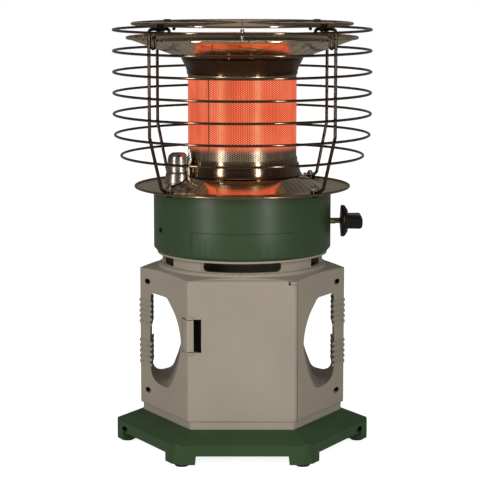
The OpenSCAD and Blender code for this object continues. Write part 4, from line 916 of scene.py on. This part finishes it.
class AddStage(HeaterOperator):
    """Adds the pale floor, the backdrop light, the soft lamps and the camera"""

    bl_idname = "heater.add_stage"
    bl_label = "Stage"

    def execute(self, context):
        scene = bpy.context.scene
        scene.view_settings.view_transform = "Standard"
        self.floor()
        self.backdrop()
        wide, tall = sizes().lamp_wide, sizes().lamp_tall
        self.lamp("lamp_left", -45, 0.92, wide, tall, 31.0)
        self.lamp("lamp_right", 32, 0.92, wide, tall, 31.0)
        fill = self.lamp("lamp_fill", -8, 1.0, 1.2, 1.2, 24.0)
        fill.visible_glossy = False
        data = bpy.data.cameras.new("camera")
        data.sensor_width = 36
        data.lens = 139.18
        camera = bpy.data.objects.new("camera", data)
        camera.location = (-0.00273, -2.2625, 0.5875)
        camera.rotation_euler = (math.radians(81.563), 0.0, 0.0)
        scene.collection.objects.link(camera)
        scene.camera = camera
        return {"FINISHED"}

    def floor(self):
        """A matt floor that is white to the camera and darker to what mirrors it."""
        material = bpy.data.materials.new("pale_floor")
        w = blank(material)
        path = w.add("LightPath").outputs
        seen = w.math("MAXIMUM", path["Is Camera Ray"], path["Is Glossy Ray"])
        seen = w.math("MAXIMUM", seen, path["Is Transmission Ray"])
        place = w.out("TexCoord", output=3)
        grain = w.out("TexNoise", {"Vector": place, "Scale": 40.0, "Detail": 3.0})
        rgb = colours().floor
        tone = w.mix(grain, toned(rgb, 0.985), toned(rgb, 1.015))
        tone = w.mix(w.times(path["Is Glossy Ray"], 0.5), tone, BLACK)
        level = w.level(path["Is Camera Ray"], w.times(seen, 0.06), 0.86)
        glow = w.out("Emission", {"Color": WHITE, "Strength": level})
        both = w.out("AddShader", {0: w.out("BsdfDiffuse", {"Color": tone}), 1: glow})
        w.add("OutputMaterial", {"Surface": both})
        material.cycles.emission_sampling = "NONE"
        mesh = bpy.data.meshes.new("floor")
        mesh.from_pydata([(-9, -9, 0), (9, -9, 0), (9, 9, 0), (-9, 9, 0)], [], [(0, 1, 2, 3)])
        mesh.materials.append(material)
        floor = bpy.data.objects.new("floor", mesh)
        bpy.context.scene.collection.objects.link(floor)

    def backdrop(self):
        """White to the camera, even light on matt skins and a dim room with a lit ceiling for gloss."""
        world = bpy.data.worlds.new("studio")
        w = blank(world)
        path = w.add("LightPath").outputs
        x, y, z = w.add("SeparateXYZ", {0: w.out("TexCoord", output=0)}).outputs
        ahead = w.span(y, -0.35, 0.55, 0.06, 0.15, "SMOOTHSTEP")
        above = w.span(z, 0.25, 0.85, 1.0, 0.5, "SMOOTHSTEP")
        ceiling = w.span(z, 0.86, 0.93, 0.0, 0.9, "SMOOTHSTEP")
        shiny = w.level(path["Is Glossy Ray"], 0.23, w.plus(w.times(ahead, above), ceiling))
        open_air = w.math("MAXIMUM", path["Is Camera Ray"], path["Is Transmission Ray"])
        level = w.level(open_air, shiny, 1.0)
        w.add("OutputWorld", {"Surface": w.out("Background", {"Color": WHITE, "Strength": level})})
        bpy.context.scene.world = world

    def lamp(self, name, side, height, wide, tall, watts):
        """A soft lamp, turned by so many degrees from the front."""
        data = bpy.data.lights.new(name, "AREA")
        data.shape = "RECTANGLE"
        data.size = wide
        data.size_y = tall
        data.energy = watts
        lamp = bpy.data.objects.new(name, data)
        turn, away, aim = math.radians(side), 2.8, Vector((0.0, 0.0, 0.28))
        lamp.location = (away * math.sin(turn), -away * math.cos(turn), height)
        lamp.rotation_euler = (aim - lamp.location).to_track_quat("-Z", "Y").to_euler()
        bpy.context.scene.collection.objects.link(lamp)
        return lamp


class AddBase(HeaterOperator):
    """Adds the two base mouldings, their screws and the rubber feet"""

    bl_idname = "heater.add_base"
    bl_label = "Base and feet"

    def execute(self, context):
        for side in ("front", "rear"):
            dressed(f"base_{side}", f"base_{side}_moulding", green_plastic)
        dressed("base_screws", "base_screw_set", black_screw)
        width = 17.2
        circle_r = FEET_HIGH.x - width / 2
        size = {"circle": circle_r * MM, "width": width * MM, "tall": 4.0 * MM, "feet": 6}
        seat(grown("foot_set", foot_tree, rubber, **size), "rubber_feet")
        return {"FINISHED"}


class AddCabinet(HeaterOperator):
    """Adds the two cabinet mouldings with the lips and posts of the neck, and their screws"""

    bl_idname = "heater.add_cabinet"
    bl_label = "Cabinet"

    def execute(self, context):
        for side in ("front", "rear"):
            name = f"cabinet_{side}_moulding"
            dressed(f"cabinet_{side}_shell", name, tan_plastic, 13.0)
        dressed("cabinet_screws", "cabinet_screw_set", black_screw)
        middle = NECK_TOP - 8.75
        slots = [(front - FRONT_SLOT_HALF, front + FRONT_SLOT_HALF) for front in (90, 270)]
        for side in (0, 180):
            post, end = SIDE_POST_HALF, SIDE_SLOT_END
            slots += [(side - end, side - post), (side + post, side + end)]
            turns = range(side - post, side + post + 1, 3)
            outline = [about(turn, WAIST_R - 0.1)[:2] for turn in turns]
            outline += [about(turn, WAIST_R - 2.9)[:2] for turn in reversed(turns)]
            plate = prism(f"neck_post_{side}", outline, middle - 6.6, middle + 6.6, tan_plastic)
            add_to(plate, "cabinet_front_shell")
        for count, (start, end) in enumerate(slots, 1):
            lip = self.slot_lip(f"slot_lip_{count}", WAIST_R + 0.5, start, end, middle)
            add_to(lip, "cabinet_front_shell")
        return {"FINISHED"}

    def slot_lip(self, name, radius, start, end, middle):
        """A raised lip round a slot in the neck, drawn flat and then wrapped round it."""
        per_degree = radius * math.tau / 360
        tall, bead, columns = 6.5, 2.0, 12
        along = [(start + (end - start) * k / columns) * per_degree for k in range(columns + 1)]
        loop = rounded([(s, -tall) for s in along] + [(s, tall) for s in reversed(along)], 3.2)
        path = [about(s / per_degree, radius, 0.0, middle + z) for s, z in loop]
        return bent(name, path + path[:2], bead, 0.05, tan_plastic)


class AddDoor(HeaterOperator):
    """Adds the hinged door, its pins and the sliding latch"""

    bl_idname = "heater.add_door"
    bl_label = "Door and latch"

    def execute(self, context):
        dressed("door", "door_moulding", tan_plastic, reshape=self.longer_slot)
        dressed("door_latch", "latch_moulding", tan_plastic)
        low, high = LATCH_LOW, LATCH_HIGH
        tail_x, tail_y, front = low.x, -96.3, low.y
        inner, outer = front - 1.1, front + 0.1
        band = [(high.x, inner), (-66.4, inner), (-65.8, outer), (high.x, outer)]
        steps = ((-1.0, -0.45), (0.2, -3.05), (1.6, -1.9), (0.0, 0.1))
        wing = [(tail_x + x, tail_y + y) for x, y in steps]
        for name, outline, foot, head in (
            ("latch_rim_top", band, high.z - 2.6, high.z),
            ("latch_rim_foot", band, low.z, low.z + 2.0),
            ("latch_rim_side", wing, low.z + 1.5, high.z - 2.0),
        ):
            add_to(prism(name, outline, foot, head, tan_plastic), "door_latch")
        dressed("door_hinge_pins", "hinge_pin_set", zinc_plate)
        return {"FINISHED"}

    def longer_slot(self, point):
        """Lowers the foot of the slot that the latch slides in."""
        at_foot = abs(point.z - (LATCH_LOW.z - 1.0)) < 0.2 and point.x < -40
        return point - Vector((0.0, 0.0, 3.0)) if at_foot else point


class AddDrum(HeaterOperator):
    """Adds the painted drum, its access panel and its screws"""

    bl_idname = "heater.add_drum"
    bl_label = "Drum"

    def execute(self, context):
        dressed("drum", "drum_wrap", green_enamel, 38.0)
        dressed("drum_access_panel", "access_panel", green_enamel, 38.0)
        places = places_mesh(DRUM_SCREW_ANGLES, DRUM_SCREW_R, DRUM_SCREW_Z, tilt=math.pi / 2)
        size = {"head": 6.4 * MM, "rise": 1.9 * MM}
        screws = grown("drum_screw_set", screw_tree, black_screw, places, **size)
        seat(screws, "drum_screws")
        return {"FINISHED"}


class AddLowerReflector(HeaterOperator):
    """Adds the lower reflector, the bell collar on it and the collar's screws"""

    bl_idname = "heater.add_lower_reflector"
    bl_label = "Lower reflector"

    def execute(self, context):
        sheet = sizes().sheet / MM
        roll = sizes().roll / MM
        rim = DISH_HIGH.x - roll
        line = [(17, Z_PLATEAU), (72.5, Z_PLATEAU), (100, Z_FLANGE), (rim, Z_FLANGE)]
        outline = walled(rounded(line, 6.0, closed=False)[::-1], sheet)
        bead = circle(rim, Z_FLANGE + 0.5, roll)
        seat(turned("lower_reflector_pan", [outline, bead], dish_steel), "lower_reflector")

        z = Z_PLATEAU + 1.2
        bell = [
            (73.0, z), (71.9, z + 1.2), (71.1, z + 3.2), (70.4, z + 5.6), (69.9, z + 8.4),
            (69.6, z + 12.2), (69.2, z + 12.9), (68.4, z + 13.2), (67.9, z + 13.8),
            (67.6, z + 15.2), (67.4, z + 17.4), (67.4, COLLAR_TOP),
        ]
        collar = turned("bell_collar", [walled(bell, sheet)], collar_steel, 50.0)
        seat(collar, "burner_collar")
        dressed("collar_screws", "collar_screw_set", bright_steel)
        return {"FINISHED"}


class AddBurner(HeaterOperator):
    """Adds the perforated screen, its lining, its lap seam and the glowing core"""

    bl_idname = "heater.add_burner"
    bl_label = "Burner screens"

    def execute(self, context):
        low, high = SCREEN_LOW.z, SCREEN_HIGH.z
        columns = 2 * round(math.pi * SCREEN_R * MM / sizes().hole_pitch)
        cell = math.tau * SCREEN_R / columns / 1.5
        size = {"columns": columns, "rows": int((high - low) / (cell * math.sqrt(3)))}
        size.update(radius=SCREEN_R * MM, cell=cell * MM, foot=(low + cell) * MM)
        size["open"] = sizes().hole_share
        net = grown("perforated_screen", perforated_tree, screen_mesh, sharp=80.0, **size)
        seat(net, "burner_screen")
        tube = self.sleeve(SCREEN_R - 0.7, low, high, 0.4)
        add_to(turned("screen_lining", [tube], screen_lining), "burner_screen")
        reach = (SCREEN_R - 0.1, SCREEN_R + 0.3, SCREEN_R + 0.3, SCREEN_R - 0.1)
        outline = [about(a, r)[:2] for a, r in zip(SEAM_ANGLES, reach)]
        add_to(prism("screen_seam", outline, low, high, screen_lap), "burner_screen")
        tube = self.sleeve(EMITTER_HIGH.x, EMITTER_LOW.z + 4, EMITTER_HIGH.z - 2, 1.0)
        seat(turned("glowing_core", [tube], core_glow), "emitter_screen")
        return {"FINISHED"}

    def sleeve(self, outer, low, high, wall):
        """Outline of a plain tube."""
        return [(outer, low), (outer, high), (outer - wall, high), (outer - wall, low)]


class AddUpperReflector(HeaterOperator):
    """Adds the flared collar, the upper reflector, the stud and its nut"""

    bl_idname = "heater.add_upper_reflector"
    bl_label = "Upper reflector"

    def execute(self, context):
        sheet = sizes().sheet / MM
        z0, z1 = FLARE_LOW.z, FLARE_HIGH.z
        flare = [
            (67.4, z0), (67.5, z0 + 3.2), (67.9, z0 + 5.2), (69.0, z0 + 8.2), (70.6, z0 + 11.6),
            (72.4, z0 + 15.0), (73.6, z0 + 17.4), (74.1, z0 + 18.8), (73.8, z1 - 0.2), (73.0, z1),
            (66.5, z1),
        ]
        collar = turned("flared_collar", [walled(flare, sheet)], flare_steel, 50.0)
        seat(collar, "upper_collar")
        bead = 1.7
        rim, rise = UPPER_HIGH.x - bead, UPPER_HIGH.z - bead
        line = rounded([(0, z1 + sheet), (74.3, z1 + sheet), (rim, rise)], 8.0, closed=False)
        outlines = [walled(line[::-1], sheet), circle(rim, rise, bead)]
        pan = turned("upper_reflector_pan", outlines, upper_steel)
        seat(pan, "upper_reflector")
        dressed("centre_stud", "stud", bright_steel)
        dressed("stud_nut", "stud_nut_and_washer", dull_steel)
        return {"FINISHED"}


class AddGuardRings(HeaterOperator):
    """Adds the seven rings of the guard"""

    bl_idname = "heater.add_guard_rings"
    bl_label = "Guard rings"

    def execute(self, context):
        for count in range(1, 8):
            low, high = span(f"guard_ring_{count}")
            wire = high.z - low.z
            size = {"radius": (high.x - wire / 2) * MM, "height": (low.z + high.z) / 2 * MM}
            ring = grown(f"ring_{count}", ring_tree, guard_wire, wire=wire * MM, **size)
            seat(ring, f"guard_ring_{count}")
        return {"FINISHED"}


class AddUprights(HeaterOperator):
    """Adds the bent upright wires with their foot eyes and curled spoke ends, and the hooks"""

    bl_idname = "heater.add_uprights"
    bl_label = "Uprights and hooks"

    def execute(self, context):
        wire = sizes().upright_wire / MM
        self.uprights(wire)
        self.hooks(wire)
        angles = UPRIGHT_ANGLES.values()
        places = places_mesh(angles, UPRIGHT_FOOT_R, Z_FLANGE + wire - 0.2, twist=12)
        size = {"flats": 7.0 * MM, "washer": 9.6 * MM, "hex_rise": 2.6 * MM, "dome_rise": 3.0 * MM}
        nuts = grown("dome_nut_set", dome_nut_tree, dull_steel, places, **size)
        seat(nuts, "guard_screws")
        dressed("guard_nuts", "guard_nut_set", black_screw)
        return {"FINISHED"}

    def uprights(self, wire):
        """One wire at each corner: its eye, its way up and its curl over the grille's rim."""
        eye, end, bend = (getattr(sizes(), name) / MM for name in ("eye", "spoke_end", "wire_bend"))
        z_foot = Z_FLANGE + wire / 2
        z_over = Z_FLANGE + 0.5 + sizes().roll / MM + wire / 2 + 0.2
        turns = [math.radians(a) for a in range(300, 0, -20)]
        path = [(UPRIGHT_FOOT_R + eye * math.cos(t), eye * math.sin(t), z_foot) for t in turns]
        path += [
            (UPRIGHT_FOOT_R + eye + 0.6, 0.2, z_foot), (127.9, 0.0, z_foot + 0.8),
            (130.3, 0.0, z_over), (134.6, 0.0, z_over + 2.5),
            (UPRIGHT_R, 0.0, UPRIGHT_BEND_Z), (UPRIGHT_R, 0.0, Z_SPOKE),
            (end, 0.0, Z_SPOKE), (end - 3.4, 0.0, Z_SPOKE - 1.2),
            (end - 4.0, 0.0, Z_SPOKE - 4.4), (end - 2.2, 0.0, Z_SPOKE - 6.8),
        ]
        for node, angle in UPRIGHT_ANGLES.items():
            points = [about(angle, *p) for p in path]
            name = node.replace("upright", "guard_upright")
            seat(bent(name, points, wire, bend, upright_wire), node)

    def hooks(self, wire):
        """Four hooks from the uprights to the edge of the upper reflector."""
        hook = sizes().hook_wire / MM
        leg = UPRIGHT_R - (wire + hook) / 2 - 0.02
        inner = UPPER_HIGH.x + hook / 2 + 0.15
        z = UPPER_HIGH.z
        path = [
            (leg, z + 5.5), (leg, z - 8.0), (leg - 1.2, z - 10.6), ((leg + inner) / 2, z - 11.6),
            (inner + 1.0, z - 10.4), (inner, z - 8.0), (inner, z + 2.0),
        ]
        points = [about(-45, r, 0.0, height) for r, height in path]
        hooks = bent("reflector_hook_set", points, hook, 3.0, upright_wire, copies=4, step=90.0)
        seat(hooks, "reflector_hooks")


class AddGrille(HeaterOperator):
    """Adds the top grille and the straps that hold it"""

    bl_idname = "heater.add_grille"
    bl_label = "Top grille"

    def execute(self, context):
        wire = GRILLE_HIGH.z - GRILLE_LOW.z
        size = {"rings": sizes().grille_rings, "spokes": sizes().grille_spokes}
        size.update(hub=20.0 * MM, rim=(GRILLE_HIGH.x - wire / 2) * MM)
        size.update(wire=wire * MM, height=(GRILLE_LOW.z + wire / 2) * MM)
        grille = grown("grille_of_rings_and_spokes", grille_tree, grille_wire, **size)
        seat(grille, "top_grille")
        dressed("grille_clips", "grille_strap_set", guard_wire)
        return {"FINISHED"}


class AddPilot(HeaterOperator):
    """Adds the pilot hood, its burner, its tube and the thermocouple"""

    bl_idname = "heater.add_pilot"
    bl_label = "Pilot"

    def execute(self, context):
        dressed("pilot_hood", "pilot_hood_pressing", hood_steel, 40.0)
        dressed("pilot_burner", "pilot_nozzle", brass)
        dressed("pilot_tube", "pilot_pipe", zinc_plate, 40.0)
        dressed("thermocouple", "thermocouple_probe", bright_steel, 40.0)
        return {"FINISHED"}


class AddKnob(HeaterOperator):
    """Adds the knob, the valve stem and the thrust ring"""

    bl_idname = "heater.add_knob"
    bl_label = "Knob and stem"

    corner = 4.5

    def execute(self, context):
        depths = (self.corner, 3.6, 2.8, 2.1, 1.5, 1.0, 0.6, 0.3, 0.1)
        cuts = [KNOB_HIGH.x - depth for depth in depths]
        bar = self.taller_bar
        dressed("knob", "knob_moulding", knob_plastic, 34.0, bar, cuts)
        dressed("valve_stem", "stem", brass)
        dressed("thrust_ring", "stem_thrust_ring", bright_steel)
        return {"FINISHED"}

    def taller_bar(self, point):
        """Makes the knob's bar taller and rounds its far end."""
        bar, half, taller = KNOB_LOW.x + 8.9, 8.5, 1.15
        if point.x <= bar:
            return point
        middle = (KNOB_LOW.z + KNOB_HIGH.z) / 2
        short = max(self.corner - (KNOB_HIGH.x - point.x), 0.0)
        drop = self.corner - math.sqrt(max(self.corner**2 - short**2, 0.0))
        return Vector((point.x, point.y, middle + (point.z - middle) * (taller - drop / half)))


class DressInnerParts(HeaterOperator):
    """Gives the parts inside the drum and the cabinet their finishes"""

    bl_idname = "heater.dress_inner_parts"
    bl_label = "Inner parts"

    FINISHES = {
        zinc_plate: "cylinder_tray heat_shield valve_bracket regulator_body",
        brass: "regulator_inlet inlet_pipe burner_pipe gas_valve_body jet_holder burner_jet",
        green_enamel: "drum_floor",
        dark_burner: "burner_pan mixer_tube",
        switch_plastic: "tip_switch",
    }

    def execute(self, context):
        for maker, nodes in self.FINISHES.items():
            for node in nodes.split():
                for slot in frame["nodes"][node].material_slots:
                    slot.material = once(maker)
        return {"FINISHED"}


class HeaterPanel(bpy.types.Panel):
    """The heater's operators, sizes and colours"""

    bl_idname = "VIEW3D_PT_heater"
    bl_label = "Heater"
    bl_space_type = "VIEW_3D"
    bl_region_type = "UI"
    bl_category = "Heater"

    def draw(self, context):
        for operator in OPERATORS:
            self.layout.operator(operator.bl_idname, text=operator.bl_label)
        for group in (context.scene.heater_sizes, context.scene.heater_colours):
            box = self.layout.box()
            for name in group.bl_rna.properties.keys():
                if name not in ("rna_type", "name"):
                    box.prop(group, name)


OPERATORS = (
    AddStage,
    AddBase,
    AddCabinet,
    AddDoor,
    AddDrum,
    AddLowerReflector,
    AddBurner,
    AddUpperReflector,
    AddGuardRings,
    AddUprights,
    AddGrille,
    AddPilot,
    AddKnob,
    DressInnerParts,
)
CLASSES = (HeaterSizes, HeaterColours, *OPERATORS, HeaterPanel)


def register():
    for cls in CLASSES:
        bpy.utils.register_class(cls)
    bpy.types.Scene.heater_sizes = bpy.props.PointerProperty(type=HeaterSizes)
    bpy.types.Scene.heater_colours = bpy.props.PointerProperty(type=HeaterColours)


def unregister():
    del bpy.types.Scene.heater_colours
    del bpy.types.Scene.heater_sizes
    for cls in reversed(CLASSES):
        bpy.utils.unregister_class(cls)


def main():
    register()
    for operator in OPERATORS:
        group, name = operator.bl_idname.split(".")
        getattr(getattr(bpy.ops, group), name)()


if __name__ == "__main__":
    main()
